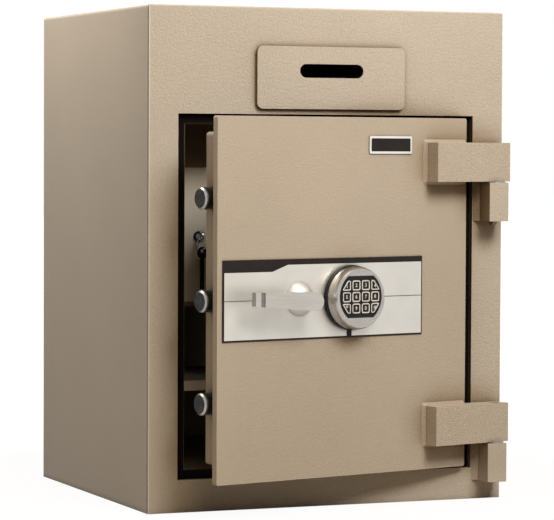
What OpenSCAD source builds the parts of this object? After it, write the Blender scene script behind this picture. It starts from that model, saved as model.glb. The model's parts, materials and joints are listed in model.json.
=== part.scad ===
// Deposit safe: letter slot over a keypad door on outside hinges, locker and shelf inside.
// Millimetres. The origin is the middle of the footprint on the ground, the front looks
// along -Y and +Z is up. Pieces are drawn from the front left bottom corner of the cabinet,
// X to the right, Y into the safe. Door pieces are drawn shut, and on_door() swings them.

/* [Cabinet] */
// Width over the sides
body_w = 502; // [422:5:802]
// Depth from the front face to the back
body_d = 440; // [380:5:700]
// Height over all
body_h = 650; // [560:5:1200]
// Radius of the edges that run to the back, and of the back's edges
body_edge_r = 4; // [2:0.5:10]
// Outer sheet thickness
shell_t = 3; // [2:0.5:6]
// Front plate thickness
front_t = 11; // [9:0.5:16]
// Thickness of the filled walls
wall_t = 38; // [30:1:60]
// Liner sheet thickness
liner_t = 2; // [1:0.5:4]

/* [Doorway] */
// Front plate left of the doorway
jamb_left = 40; // [36:1:80]
// Front plate right of the doorway
jamb_right = 43.5; // [38:0.5:80]
// Front plate under the doorway
sill_h = 42; // [30:1:100]
// Front plate over the doorway
header_h = 138; // [125:0.5:250]
// Width of the lip that the bolts catch behind
lip_w = 13; // [10:0.5:20]
// Lip plate thickness
lip_t = 3.5; // [2:0.5:5]
// Bare edge of the lip beside the seal
lip_bare = 1.5; // [0.5:0.5:4]
// Room between the shut door and the seal
seal_gap = 0.3; // [0.2:0.1:1]

/* [Ground fixing] */
// Hole for a ground bolt, diameter
anchor_hole_d = 14; // [10:1:20]
// Sleeve round a ground bolt, outside diameter
anchor_sleeve_d = 20; // [16:1:30]
// Ground bolts apart, across the safe
anchor_span_x = 300; // [150:10:400]
// Ground bolts apart, front to back
anchor_span_y = 210; // [100:10:300]

/* [Letter slot] */
// Letter plate width
letter_plate_w = 209; // [150:1:260]
// Letter plate height
letter_plate_h = 81; // [60:1:100]
// Letter plate thickness
letter_plate_t = 5.5; // [3:0.5:8]
// Letter plate corner radius
letter_plate_r = 8; // [3:1:15]
// Front plate between the doorway and the letter plate
letter_plate_rise = 7; // [3:1:20]
// Slot width
slot_w = 90; // [70:1:140]
// Slot height
slot_h = 18; // [12:1:24]
// Slot above the middle of its plate
slot_rise = 9; // [0:1:15]
// Sheet thickness of the throat, chute and baffle
chute_t = 2; // [1:0.5:3]
// Fall of the chute from the throat to its back edge
chute_fall = 40; // [20:1:50]
// Chute width
chute_w = 360; // [200:10:380]
// Chute side height
chute_side_h = 22; // [10:1:30]
// Room under the teeth of the baffle
baffle_gap = 14; // [8:1:25]
// Depth of the baffle's upper flange
baffle_flange = 16; // [8:1:30]
// Tooth pitch of the baffle
tooth_pitch = 20; // [10:1:40]
// Tooth height
tooth_h = 12; // [6:1:20]

/* [Locker and shelf] */
// Locker front behind the front face
locker_front = 120; // [110:1:150]
// Locker width
locker_w = 200; // [180:5:240]
// Locker depth
locker_d = 172; // [120:1:200]
// Locker underside above the ground
locker_z = 258; // [225:1:320]
// Locker sheet thickness
locker_t = 2; // [1:0.5:3]
// Locker edge under its door
locker_rim = 5; // [3:1:10]
// Fascia over the locker door
locker_fascia_h = 68; // [40:1:90]
// Locker front left of its door
locker_left_rim = 45; // [30:1:60]
// Locker front at the hinge side of its door
locker_hinge_rim = 18; // [10:1:40]
// Gap round the locker door
locker_gap = 1; // [0.8:0.1:2]
// Return flange depth of the locker door
locker_flange = 14; // [12:1:20]
// Locker hinge pin diameter
locker_pin_d = 5; // [4:0.5:8]
// Locker lock from the left end of its door
locker_lock_in = 29.5; // [20:0.5:60]
// Lock below the middle of the locker door
lock_drop = 2.5; // [0:0.5:6]
// Lock barrel diameter
barrel_d = 12; // [11:0.5:16]
// Lock plug diameter
plug_d = 8; // [8:0.5:9]
// Lock barrel length behind the locker front
barrel_len = 21; // [16:1:30]
// Cam length from the plug
cam_len = 44; // [38:1:60]
// Shelf front behind the front face
shelf_front = 62; // [58:1:100]
// Shelf top above the ground
shelf_z = 164; // [130:1:190]
// Shelf depth
shelf_d = 225; // [120:5:260]
// Shelf front lip height
shelf_lip_h = 13; // [8:1:25]
// Shelf sheet thickness
shelf_t = 2; // [1:0.5:3]
// Leg of a shelf bracket under the shelf
bracket_w = 16; // [8:1:30]
// Leg of a shelf bracket down the wall
bracket_h = 20; // [10:1:40]
// Sheet thickness of a shelf bracket
bracket_t = 2; // [1:0.5:3]
// Shelf bracket short of the shelf's ends
bracket_in = 6; // [2:1:20]

/* [Door] */
// Door opened by, as it stands
door_angle = 13.2; // [0:0.1:85]
// Door plate thickness
slab_t = 9.5; // [6:0.5:12]
// Door plate proud of the front face
slab_proud = 1; // [0:0.5:4]
// Gap left of the door
door_gap_left = 6.5; // [4:0.5:10]
// Gap at the hinge side
door_gap_right = 11.5; // [6:0.5:14]
// Gap under the door
door_gap_bottom = 3.7; // [2:0.1:8]
// Gap over the door
door_gap_top = 3.5; // [2:0.5:8]
// Handle, panel and keypad below the middle of the door
mid_drop = 1; // [0:0.1:3]
// Door corner radius
slab_r = 3; // [1:0.5:8]
// Bolt box in from the left edge of the door
pan_in_left = 16.5; // [15:0.5:40]
// Bolt box in from the hinge edge
pan_in_right = 12; // [8:0.5:40]
// Bolt box above the bottom edge
pan_in_bottom = 21.5; // [18:0.5:40]
// Bolt box below the top edge
pan_in_top = 20; // [15:0.5:40]
// Bolt box depth behind the door plate
pan_d = 41.5; // [38:0.5:44]
// Bolt box sheet thickness
pan_t = 2; // [1:0.5:3]
// Bend radius at the back of the bolt box
pan_r = 3; // [2:0.5:14]
// Radius of the bolt box's upright corners, seen from the front
pan_corner_r = 6; // [4:0.5:14]
// Standoff diameter
standoff_d = 12; // [8:1:16]

/* [Hinges] */
// Hinge pins in from the right side
hinge_in = 17; // [15:0.5:19]
// Hinge pins in front of the front face
hinge_out = 16.5; // [15:0.5:20]
// Hinge pin diameter
pin_d = 12; // [8:0.5:14]
// Running clearance of a turning or sliding fit, on the radius
fit_gap = 0.05; // [0.02:0.01:0.1]
// Arm thickness
arm_t = 26; // [24:0.5:32]
// Arm height
arm_h = 51.5; // [30:0.5:70]
// Arm length on the door, from the pin
arm_reach = 107; // [80:1:160]
// Lower arm above the bottom edge of the door
arm_in_bottom = 32.5; // [30:0.5:80]
// Upper arm below the top edge of the door
arm_in_top = 32; // [20:0.5:80]
// Room between an arm's end and the front plate at full swing
arm_clear = 0.4; // [0.3:0.1:2]
// Weld bead leg
weld_leg = 4; // [3:0.5:8]
// Post width
post_w = 27.5; // [22:0.5:30]
// Post in from the right side
post_in = 8; // [4:1:10]
// Post in front of the front face
post_d = 36.5; // [28:0.5:45]
// Post height
post_h = 51.4; // [30:0.2:60]
// Weld bead leg beside a post
post_weld = 7; // [3:0.5:8]
// Length of the bead under a post
post_tack = 6; // [3:0.5:12]
// Washer thickness
washer_t = 1; // [0.8:0.1:2]
// Washer diameter
washer_d = 26; // [18:1:28]
// Room over a washer
washer_gap = 0.1; // [0.05:0.05:0.3]

/* [Boltwork] */
// Locking bolt diameter
bolt_d = 28; // [20:1:28]
// Bolt middles apart
bolt_pitch = 129.5; // [90:0.5:170]
// Middle bolt below the handle
bolt_drop = 0.8; // [0:0.1:2]
// Bolt middles behind the front face
bolt_y = 29.5; // [29.5:0.5:31]
// Bolt ends out of the bolt box when thrown
bolt_out = 22.5; // [16:0.5:23]
// Bolt end chamfer
bolt_chamfer = 2; // [1:0.5:3]
// Bush length
bush_len = 20; // [10:1:22]
// Carriage bar from the outside of the bolt box
bar_in = 36; // [34:1:50]
// Carriage bar width
bar_w = 12; // [8:1:20]
// Carriage plate thickness
carriage_t = 8; // [5:0.5:10]
// Handle turn from thrown to drawn
handle_turn = 70; // [50:1:80]
// Crank radius
crank_r = 13; // [10:0.5:14]
// Crank finger diameter
finger_d = 8; // [5:0.5:9]
// Room beside the finger in its slot
finger_gap = 0.35; // [0.3:0.05:0.6]
// Hinge side bar out of the bolt box
dog_out = 19; // [12:1:20]
// Hinge side bar thickness
dog_t = 12; // [8:1:14]
// Hinge side bar height
dog_h = 320; // [200:10:360]
// Hinge side bar behind the door plate
dog_in = 21.5; // [15:0.5:30]
// Length of the hinge side bar inside the bolt box
dog_tail = 18; // [10:1:30]

/* [Handle] */
// Handle from the left edge of the door
handle_in = 126.5; // [105:0.5:140]
// Lever reach from its axis to its tip
lever_reach = 93.5; // [80:0.5:110]
// Lever height at its tip
lever_tip_h = 17.5; // [12:0.5:24]
// Lever height at its axis
lever_hub_h = 24; // [20:0.5:30]
// Lever tip above its axis
lever_rise = 3.5; // [0:0.5:8]
// Middle of the lever's thick end below its axis
lever_drop = 1.5; // [0:0.5:1.5]
// Lever thickness
lever_t = 8.5; // [7:0.5:15]
// Hand room behind the lever, to the panel
lever_gap = 27; // [20:1:40]
// Groove in from the lever tip
lever_groove_in = 8; // [5:0.5:20]
// Groove width
lever_groove_w = 6.5; // [3:0.5:10]
// Groove depth
lever_groove_t = 1; // [0.5:0.5:2]
// Spindle diameter
spindle_d = 12; // [10:0.5:14]
// Lever neck diameter
neck_d = 20; // [16:1:22]
// Rose diameter
rose_d = 44; // [36:1:54]
// Rose height
rose_h = 14; // [8:0.5:20]

/* [Front panel] */
// Panel from the left edge of the door
panel_in = 7.5; // [3:0.5:20]
// Panel width
panel_w = 318; // [300:0.5:325]
// Panel height
panel_h = 102.5; // [96:0.5:140]
// Back plate thickness
panel_back_t = 1; // [1:0.5:3]
// Silver plate thickness
panel_front_t = 0.8; // [0.8:0.1:2]
// Black rim round the silver plate
panel_rim = 2; // [1.5:0.1:5]
// Black rim over the silver plate, right of the step
panel_head = 7; // [3:0.5:12]
// Step down to the left part
panel_step = 8.5; // [4:0.5:15]
// Left end of the slanted step, from the left end of the silver plate
step_start = 74; // [50:1:90]
// Length of the slanted step
step_len = 24; // [10:1:40]
// Width of the groove along the middle
groove_w = 1; // [0.5:0.1:2]
// Badge width
badge_w = 70; // [40:1:90]
// Badge height
badge_h = 23; // [15:1:40]
// Badge thickness
badge_t = 1.5; // [1:0.5:3]
// Badge from the hinge arm beside it
badge_from_arm = 24; // [8:0.5:60]
// Badge below the top edge of the door
badge_down = 24; // [10:1:28]

/* [Keypad] */
// Keypad from the handle
keypad_from_handle = 79.7; // [78:0.1:90]
// Base diameter
keypad_base_d = 84; // [82:1:90]
// Base thickness
keypad_base_t = 6; // [4:0.5:10]
// Housing diameter at the base
keypad_d = 81.6; // [78:0.2:82]
// Housing diameter at the front
keypad_front_d = 76; // [74:0.5:77]
// Housing height over the base
keypad_h = 18; // [16:0.5:24]
// Pad diameter
pad_d = 67.6; // [66:0.2:69]
// Pad height across its flats
pad_h = 54; // [52:0.5:56]
// Pad above the middle of its housing
pad_up = 2; // [0:0.1:2.4]
// Pad left of the middle of its housing
pad_left = 0.5; // [0:0.1:1]
// Pad thickness
pad_t = 3; // [2:0.5:4]
// Pad below the housing front
pad_sunk = 0.6; // [0.2:0.1:1]
// Key width
key_w = 13; // [10:0.1:13.4]
// Key height
key_h = 13; // [10:0.1:13.4]
// Key middles apart, across
key_pitch_x = 15.2; // [14.4:0.1:15.5]
// Key middles apart, upwards
key_pitch_z = 14.8; // [14:0.1:15]
// Key proud of the pad
key_proud = 1.4; // [1.2:0.1:2]
// Key travel
key_travel = 1; // [0.5:0.1:1.1]
// Gap round a key
key_gap = 0.3; // [0.2:0.05:0.5]
// Lead hole diameter
lead_hole_d = 10; // [8:1:14]
// Lock case width
case_w = 80; // [60:1:85]
// Lock case height
case_h = 60; // [50:1:64]
// Lock case depth
case_d = 32; // [28:1:36]
// Lock bolt width
lock_bolt_w = 12; // [8:1:16]
// Lock bolt thickness
lock_bolt_t = 14; // [12:1:16]
// Lock bolt travel
lock_bolt_travel = 8; // [6:0.5:10]

/* [Locker keys] */
// Key head diameter
key_head_d = 16; // [14:0.5:18]
// Middle of a key head out of the lock
key_out = 9.5; // [9.5:0.5:14]
// Key head thickness
key_head_t = 2; // [1.5:0.1:2.4]
// Hole in a key head, diameter
key_eye_d = 6.4; // [6:0.1:7]
// Key blade width
blade_w = 6.5; // [5:0.5:7]
// Key blade thickness
blade_t = 1.8; // [1.2:0.1:2]
// Spare key blade length
blade_len = 40; // [30:1:50]
// Ring diameter at the middle of its wire
ring_d = 14; // [13:0.5:16]
// Ring wire diameter
wire_d = 1.6; // [1:0.1:1.8]
// Room between a wire and a key
wire_gap = 0.3; // [0.2:0.05:0.5]
// Ring turned from square on
ring_turn = -35; // [-45:5:-20]
// Spare key turned from square on
spare_turn = 20; // [10:5:30]

/* [Hidden] */
$fn = 48;

paint = [0.74, 0.66, 0.54];
dark_metal = [0.35, 0.35, 0.37];
bright_metal = [0.78, 0.78, 0.77];
silver = [0.85, 0.84, 0.81];
black_plastic = [0.08, 0.08, 0.09];
inner_grey = [0.72, 0.71, 0.69];
filling = [0.55, 0.53, 0.5];
rubber = [0.05, 0.05, 0.05];
eps = 0.01;

// Doorway and lip
door_x0 = jamb_left;
door_x1 = body_w - jamb_right;
door_z0 = sill_h;
door_z1 = body_h - header_h;
lip_x0 = door_x0 + lip_w;
lip_x1 = door_x1 - lip_w;
lip_z0 = door_z0 + lip_w;
lip_z1 = door_z1 - lip_w;
lip_back = front_t + lip_t;

// Room inside the liner
room_x0 = wall_t;
room_x1 = body_w - wall_t;
room_y1 = body_d - wall_t;
room_z0 = lip_z0;
room_z1 = body_h - wall_t;
head_z = door_z1 + liner_t;
lip_over = liner_t;
lip_out_x0 = min(room_x0, door_x0) - lip_over;
lip_out_x1 = max(room_x1, door_x1) + lip_over;
lip_out_z0 = door_z0 - lip_over * 2;
lip_out_z1 = door_z1 + lip_over * 2;

// Letter slot
letter_x = body_w / 2;
letter_z = door_z1 + letter_plate_rise + letter_plate_h / 2;
slot_z = letter_z + slot_rise;
chute_z0 = slot_z - slot_h / 2 - chute_t;
chute_x0 = letter_x - chute_w / 2;
chute_x1 = letter_x + chute_w / 2;
chute_y1 = locker_front + locker_d;
chute_z1 = chute_z0 - chute_fall;
baffle_y = (wall_t + chute_y1) / 2;
baffle_z = chute_z0 - chute_fall * (baffle_y - wall_t) / (chute_y1 - wall_t) + baffle_gap;

// Locker
locker_x0 = room_x0;
locker_x1 = room_x0 + locker_w;
locker_y1 = locker_front + locker_d;
locker_z1 = head_z - liner_t - locker_gap;
locker_door_z0 = locker_z + locker_rim + locker_gap;
locker_door_z1 = locker_z1 - locker_fascia_h - locker_gap;
locker_open_x0 = locker_x0 + locker_left_rim;
locker_open_x1 = locker_x1 - locker_hinge_rim;
locker_door_x0 = locker_open_x0 + locker_gap;
locker_pin_x = locker_open_x1 - locker_flange / 2 - locker_gap;
locker_pin_y = locker_front + locker_flange / 2;
locker_door_x1 = locker_pin_x + locker_pin_d / 2 + locker_gap / 2;
lock_x = locker_door_x0 + locker_lock_in;
lock_z = (locker_door_z0 + locker_door_z1) / 2 - lock_drop;
lock_face = locker_front - 2;
barrel_back = locker_front + barrel_len;
cam_t = 2.5;
keeper_t = 2;
keeper_reach = lock_x - cam_len + 6;

// Shelf
shelf_x0 = room_x0 + 1;
shelf_x1 = room_x1 - 1;

// Door
slab_x0 = door_x0 + door_gap_left;
slab_x1 = door_x1 - door_gap_right;
slab_z0 = door_z0 + door_gap_bottom;
slab_z1 = door_z1 - door_gap_top;
slab_front = -slab_proud;
slab_back = slab_front + slab_t;
slab_mid = (slab_z0 + slab_z1) / 2 - mid_drop;
pan_x0 = slab_x0 + pan_in_left;
pan_x1 = slab_x1 - pan_in_right;
pan_z0 = slab_z0 + pan_in_bottom;
pan_z1 = slab_z1 - pan_in_top;
pan_back = slab_back + pan_d;
standoff_in = 22;
standoff_x = [pan_x0 + standoff_in, pan_x1 - standoff_in];
standoff_z = [pan_z0 + standoff_in, pan_z1 - standoff_in];

// Hinges
hinge_x = body_w - hinge_in;
hinge_y = -hinge_out;
arm_x0 = hinge_x - arm_reach;
arm_over = hinge_out - arm_clear;
arm_front = slab_front - arm_t;
arm_z = [slab_z0 + arm_in_bottom, slab_z1 - arm_in_top - arm_h];
post_x1 = body_w - post_in;
post_x0 = post_x1 - post_w;
post_drop = washer_t + washer_gap * 2;

// Panel and handle
panel_x0 = slab_x0 + panel_in;
panel_x1 = panel_x0 + panel_w;
panel_face = slab_front - panel_back_t;
silver_x0 = panel_x0 + panel_rim;
silver_x1 = panel_x1 - panel_rim;
silver_z0 = slab_mid - panel_h / 2 + panel_rim;
silver_z1 = slab_mid + panel_h / 2 - panel_head;
trim_face = panel_face - panel_front_t;
handle_x = slab_x0 + handle_in;
lever_back = trim_face - lever_gap;
lever_front = lever_back - lever_t;
crank_y0 = slab_back + 0.5;
crank_t = 7;
crank_back = crank_y0 + crank_t;
crank_d = crank_r * 2 + finger_d + 4;
half_turn = handle_turn / 2;

// Boltwork
bolt_travel = 2 * crank_r * sin(half_turn);
bolt_end = pan_x0 - bolt_out;
bush_x0 = pan_x0 + max(pan_r, pan_t + 1);
bolt_mid = slab_mid - bolt_drop;
bolt_zs = [bolt_mid - bolt_pitch, bolt_mid, bolt_mid + bolt_pitch];
bar_x0 = pan_x0 + bar_in;
bar_x1 = bar_x0 + bar_w;
carriage_y0 = crank_back + 1.5;
carriage_y1 = carriage_y0 + carriage_t;
finger_x = handle_x - crank_r * sin(half_turn);
finger_z = slab_mid - crank_r * cos(half_turn);
finger_low = slab_mid - crank_r;
dog_y0 = slab_back + dog_in;

// Keypad
keypad_x = handle_x + keypad_from_handle;
pad_x = keypad_x - pad_left;
pad_z = slab_mid + pad_up;
base_face = trim_face - keypad_base_t;
keypad_face = base_face - keypad_h;
pad_face = keypad_face + pad_sunk;
pad_back = pad_face + pad_t;
key_face = pad_face - key_proud;
key_back = pad_back - 0.2;
pocket_back = key_back + key_travel + 0.5;
key_t = key_back - key_face;
case_x0 = keypad_x - case_w / 2;
case_z0 = slab_mid - case_h / 2 + 2;
lock_bolt_y0 = carriage_y0 - (lock_bolt_t - carriage_t) / 2;
arm_top = case_z0 - 4;
lock_bolt_z0 = arm_top + 0.6;
lock_bolt_len = 26;
notch_gap = 1;

// Locker keys
eye_out = key_head_d / 2 - key_eye_d / 2 - 1.6;
head_y = lock_face - key_out;
eye_y = head_y - eye_out;
wire_off = key_eye_d / 2 - wire_d / 2 - wire_gap;
ring_top_z = lock_z - wire_off;
ring_z = ring_top_z - ring_d / 2;
spare_eye_z = ring_z - ring_d / 2 - wire_off;
spare_head_z = spare_eye_z - eye_out;

// Helpers
module in_body() translate([-body_w / 2, -body_d / 2, 0]) children();

module on_door() in_body()
    translate([hinge_x, hinge_y, 0]) rotate([0, 0, door_angle])
    translate([-hinge_x, -hinge_y, 0]) children();

module box(low, high) translate(low) cube(high - low);

// Round bar along Y from y0 to y1
module rod_y(x, z, d, y0, y1) translate([x, y0, z]) rotate([-90, 0, 0]) cylinder(d = d, h = y1 - y0);

// Round bar along X from x0 to x1
module rod_x(y, z, d, x0, x1) translate([x0, y, z]) rotate([0, 90, 0]) cylinder(d = d, h = x1 - x0);

// Flat outline with round corners, lower left corner at the origin
module round_rect(w, h, r) {
    translate([r, 0]) square([w - 2 * r, h]);
    translate([0, r]) square([w, h - 2 * r]);
    for (x = [r, w - r], y = [r, h - r]) translate([x, y]) circle(r);
}

// Outline drawn in X and Z, given thickness along Y from y0 to y1
module plate_y(y0, y1) translate([0, y1, 0]) rotate([90, 0, 0]) linear_extrude(y1 - y0) children();

// Outline drawn in Y and Z, given length along X from x0 to x1
module bar_x(x0, x1) translate([x0, 0, 0]) rotate([90, 0, 90]) linear_extrude(x1 - x0) children();

// Slot outline with round ends round its middle
module slot_outline(w, h) {
    square([w - h, h], center = true);
    for (side = [-1, 1]) translate([side * (w - h) / 2, 0]) circle(d = h);
}

// Cabinet
// Block with its front edges left sharp
module cabinet_block() intersection() {
    linear_extrude(body_h) translate([0, -body_edge_r * 2])
        round_rect(body_w, body_d + body_edge_r * 2, body_edge_r);
    plate_y(0, body_d) translate([0, -body_edge_r * 2])
        round_rect(body_w, body_h + body_edge_r * 2, body_edge_r);
    bar_x(0, body_w) translate([-body_edge_r * 2, -body_edge_r * 2])
        round_rect(body_d + body_edge_r * 2, body_h + body_edge_r * 2, body_edge_r);
}

module at_anchors() for (sx = [-1, 1], sy = [-1, 1])
    translate([body_w / 2 + sx * anchor_span_x / 2, body_d / 2 + sy * anchor_span_y / 2, 0]) children();

module slot_cut(grow, y0, y1) plate_y(y0, y1)
    translate([letter_x, slot_z]) slot_outline(slot_w + 2 * grow, slot_h + 2 * grow);

module liner_outline() polygon([
    [lip_back, room_z0 - liner_t],
    [room_y1 + liner_t, room_z0 - liner_t],
    [room_y1 + liner_t, room_z1 + liner_t],
    [wall_t - liner_t, room_z1 + liner_t],
    [wall_t - liner_t, head_z + liner_t],
    [lip_back, head_z + liner_t]]);

module shell() color(paint) in_body() difference() {
    cabinet_block();
    box([-1, -1, -1], [body_w + 1, front_t, body_h + 1]);
    box([shell_t, 0, shell_t], [body_w - shell_t, body_d - shell_t, body_h - shell_t]);
    at_anchors() translate([0, 0, -1]) cylinder(d = anchor_sleeve_d, h = shell_t + 2);
}

module front_plate() color(paint) in_body() difference() {
    intersection() {
        cabinet_block();
        box([-1, -1, -1], [body_w + 1, front_t, body_h + 1]);
    }
    box([door_x0, -1, door_z0], [door_x1, front_t + 1, door_z1]);
    slot_cut(chute_t, -1, front_t + 1);
}

module door_lip() color(inner_grey) in_body() difference() {
    box([lip_out_x0, front_t, lip_out_z0], [lip_out_x1, lip_back, lip_out_z1]);
    box([lip_x0, 0, lip_z0], [lip_x1, lip_back + 1, lip_z1]);
}

module door_seal() color(rubber) in_body() difference() {
    box([door_x0, slab_back + seal_gap, door_z0], [door_x1, front_t, door_z1]);
    box([lip_x0 - lip_bare, 0, lip_z0 - lip_bare], [lip_x1 + lip_bare, front_t + 1, lip_z1 + lip_bare]);
}

// Floor and back of the liner, one folded sheet
module liner_wrap() color(inner_grey) in_body() difference() {
    bar_x(room_x0, room_x1) polygon([
        [lip_back, room_z0 - liner_t], [room_y1 + liner_t, room_z0 - liner_t],
        [room_y1 + liner_t, room_z1 + liner_t], [room_y1, room_z1 + liner_t],
        [room_y1, room_z0], [lip_back, room_z0]]);
    at_anchors() translate([0, 0, room_z0 - liner_t - 1]) cylinder(d = anchor_hole_d, h = liner_t + 2);
}

module liner_sides() color(inner_grey) in_body() for (x = [room_x0 - liner_t, room_x1])
    bar_x(x, x + liner_t) liner_outline();

// Ceiling of the liner, folded down behind the letter slot and forward over the doorway
module liner_ceiling() color(inner_grey) in_body() difference() {
    bar_x(room_x0, room_x1) polygon([
        [room_y1, room_z1 + liner_t], [wall_t - liner_t, room_z1 + liner_t],
        [wall_t - liner_t, head_z + liner_t], [lip_back, head_z + liner_t],
        [lip_back, head_z], [wall_t, head_z], [wall_t, room_z1], [room_y1, room_z1]]);
    slot_cut(chute_t, wall_t - liner_t - 1, wall_t + 1);
}

module barrier_fill() color(filling) in_body() difference() {
    box([shell_t, front_t, shell_t], [body_w - shell_t, body_d - shell_t, body_h - shell_t]);
    bar_x(room_x0 - liner_t, room_x1 + liner_t) liner_outline();
    box([lip_out_x0, front_t - 1, lip_out_z0], [lip_out_x1, lip_back, lip_out_z1]);
    slot_cut(chute_t, front_t - 1, wall_t);
    at_anchors() cylinder(d = anchor_sleeve_d, h = room_z0);
}

module anchor_sleeves() color(dark_metal) in_body() at_anchors() difference() {
    cylinder(d = anchor_sleeve_d, h = room_z0 - liner_t);
    translate([0, 0, -1]) cylinder(d = anchor_hole_d, h = room_z0);
}

// Letter slot, chute and baffle
module letter_plate() color(paint) in_body() difference() {
    plate_y(-letter_plate_t, 0)
        translate([letter_x - letter_plate_w / 2, letter_z - letter_plate_h / 2])
        round_rect(letter_plate_w, letter_plate_h, letter_plate_r);
    slot_cut(0, -letter_plate_t - 1, 1);
}

module slot_throat() color(dark_metal) in_body() difference() {
    slot_cut(chute_t, 0, wall_t);
    slot_cut(0, -1, wall_t + 1);
}

module chute() color(inner_grey) in_body() {
    floor_low = [[wall_t, chute_z0], [chute_y1, chute_z1], [chute_y1, locker_z1],
        [chute_y1 - chute_t, locker_z1], [chute_y1 - chute_t, chute_z1 - chute_t],
        [wall_t, chute_z0 - chute_t]];
    bar_x(chute_x0, chute_x1) polygon(floor_low);
    for (x = [chute_x0 - chute_t, chute_x1]) bar_x(x, x + chute_t) polygon([
        [wall_t, chute_z0 - chute_t], [chute_y1, chute_z1 - chute_t],
        [chute_y1, chute_z1 + chute_side_h], [wall_t, chute_z0 + chute_side_h]]);
}

module baffle() color(dark_metal) in_body() {
    teeth = floor((chute_w - 2) / tooth_pitch);
    x0 = letter_x - teeth * tooth_pitch / 2;
    plate_y(baffle_y, baffle_y + chute_t) polygon(concat(
        [[x0, room_z1], [x0, baffle_z + tooth_h]],
        [for (i = [0:teeth - 1], k = [0, 1])
            [x0 + (i + 0.5 + k / 2) * tooth_pitch, baffle_z + k * tooth_h]],
        [[x0 + teeth * tooth_pitch, room_z1]]));
    box([x0, baffle_y, room_z1 - chute_t], [x0 + teeth * tooth_pitch, baffle_y + baffle_flange, room_z1]);
}

// Locker and shelf
module locker_carcass() color(inner_grey) in_body() {
    difference() {
        box([locker_x0, locker_front, locker_z], [locker_x1, locker_y1, locker_z1]);
        box([locker_x0 + locker_t, locker_front + locker_t, locker_z + locker_t],
            [locker_x1 - locker_t, locker_y1 - locker_t, locker_z1 - locker_t]);
        box([locker_open_x0, 0, locker_door_z0 - locker_gap],
            [locker_open_x1, locker_front + 1 + locker_t, locker_door_z1 + locker_gap]);
    }
    // Return flange under the fascia, which holds the upper pin
    box([locker_x0 + locker_t, locker_front, locker_door_z1 + locker_gap],
        [locker_x1 - locker_t, locker_front + locker_flange + 6, locker_door_z1 + locker_gap + locker_t]);
    // Keeper that the cam turns behind
    box([locker_x0 + locker_t, barrel_back - keeper_t, lock_z - 14],
        [keeper_reach, barrel_back, lock_z + 14]);
}

module locker_hinge_pins() color(dark_metal) in_body() translate([locker_pin_x, locker_pin_y, 0]) {
    translate([0, 0, locker_z + locker_t])
        cylinder(d = locker_pin_d, h = locker_door_z0 - locker_z - locker_t + locker_t + 4);
    translate([0, 0, locker_door_z1 - locker_t - 4])
        cylinder(d = locker_pin_d, h = locker_t + 4 + locker_gap);
}

module shelf() color(inner_grey) in_body() {
    box([shelf_x0, shelf_front, shelf_z - shelf_t], [shelf_x1, shelf_front + shelf_d, shelf_z]);
    box([shelf_x0, shelf_front, shelf_z - shelf_lip_h], [shelf_x1, shelf_front + shelf_t, shelf_z]);
}

module shelf_brackets() color(dark_metal) in_body() for (side = [0, 1])
    translate([side * body_w, 0, 0]) mirror([side, 0, 0]) {
        top = shelf_z - shelf_t;
        y0 = shelf_front + bracket_in;
        y1 = shelf_front + shelf_d - bracket_in;
        box([room_x0, y0, top - bracket_t], [room_x0 + bracket_w, y1, top]);
        box([room_x0, y0, top - bracket_h], [room_x0 + bracket_t, y1, top]);
    }

// Hinge posts, pins and washers
module at_arms() for (z = arm_z) translate([0, 0, z]) children();

module hinge_posts() color(paint) in_body() at_arms() translate([0, 0, -post_drop - post_h])
    difference() {
        union() {
            box([post_x0, -post_d, 0], [post_x1, 0, post_h]);
            linear_extrude(post_h) polygon([[post_x0 - post_weld, 0], [post_x0, -post_weld], [post_x0, 0]]);
            bar_x(post_x1 - 1 - post_tack, post_x1 - 1) polygon([[0, -post_weld], [0, 0], [-post_weld, 0]]);
        }
        translate([hinge_x, hinge_y, -post_weld - 1]) cylinder(d = pin_d, h = post_h + post_weld + 2);
    }

module hinge_pins() color(dark_metal) in_body() at_arms() translate([hinge_x, hinge_y, -post_drop - post_h + 2])
    cylinder(d = pin_d, h = post_h + post_drop + arm_h - 3);

module hinge_washers() color(bright_metal) in_body() at_arms()
    translate([hinge_x, hinge_y, -post_drop]) difference() {
        cylinder(d = washer_d, h = washer_t + washer_gap);
        translate([0, 0, -1]) cylinder(d = pin_d, h = washer_t + 2);
    }

// Door plate, bolt box and hinge arms
module door_slab() color(paint) on_door() difference() {
    plate_y(slab_front, slab_back) translate([slab_x0, slab_z0])
        round_rect(slab_x1 - slab_x0, slab_z1 - slab_z0, slab_r);
    rod_y(handle_x, slab_mid, spindle_d + 2 * fit_gap, slab_front - 1, slab_back + 1);
    rod_y(keypad_x, slab_mid, lead_hole_d, slab_front - 1, slab_back + 1);
}

// Block of the bolt box, drawn in by the sheet thickness on every side but the open one
module pan_block(inset) {
    w = pan_x1 - pan_x0 - 2 * inset;
    h = pan_z1 - pan_z0 - 2 * inset;
    deep = pan_d - inset;
    r = max(pan_r - inset, 0.5);
    front = slab_back - (inset > 0 ? 1 : 0);
    intersection() {
        translate([pan_x0 + inset, slab_back - r - 1, pan_z0 + inset])
            linear_extrude(h) round_rect(w, deep + r + 1, r);
        bar_x(pan_x0 + inset, pan_x1 - inset) translate([slab_back - r - 1, pan_z0 + inset])
            round_rect(deep + r + 1, h, r);
        plate_y(front, pan_back + 1) translate([pan_x0 + inset, pan_z0 + inset])
            round_rect(w, h, pan_corner_r - inset);
    }
}

module door_pan() color(paint) on_door() difference() {
    pan_block(0);
    pan_block(pan_t);
    for (z = bolt_zs) rod_x(bolt_y, z, bolt_d + 2 * fit_gap, pan_x0 - 1, pan_x0 + pan_t + 1);
    box([pan_x1 - pan_t - 1, dog_y0, slab_mid - dog_h / 2], [pan_x1 + 1, dog_y0 + dog_t, slab_mid + dog_h / 2]);
    for (x = standoff_x, z = standoff_z) rod_y(x, z, 5, pan_back - pan_t - 1, pan_back + 1);
}

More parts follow.
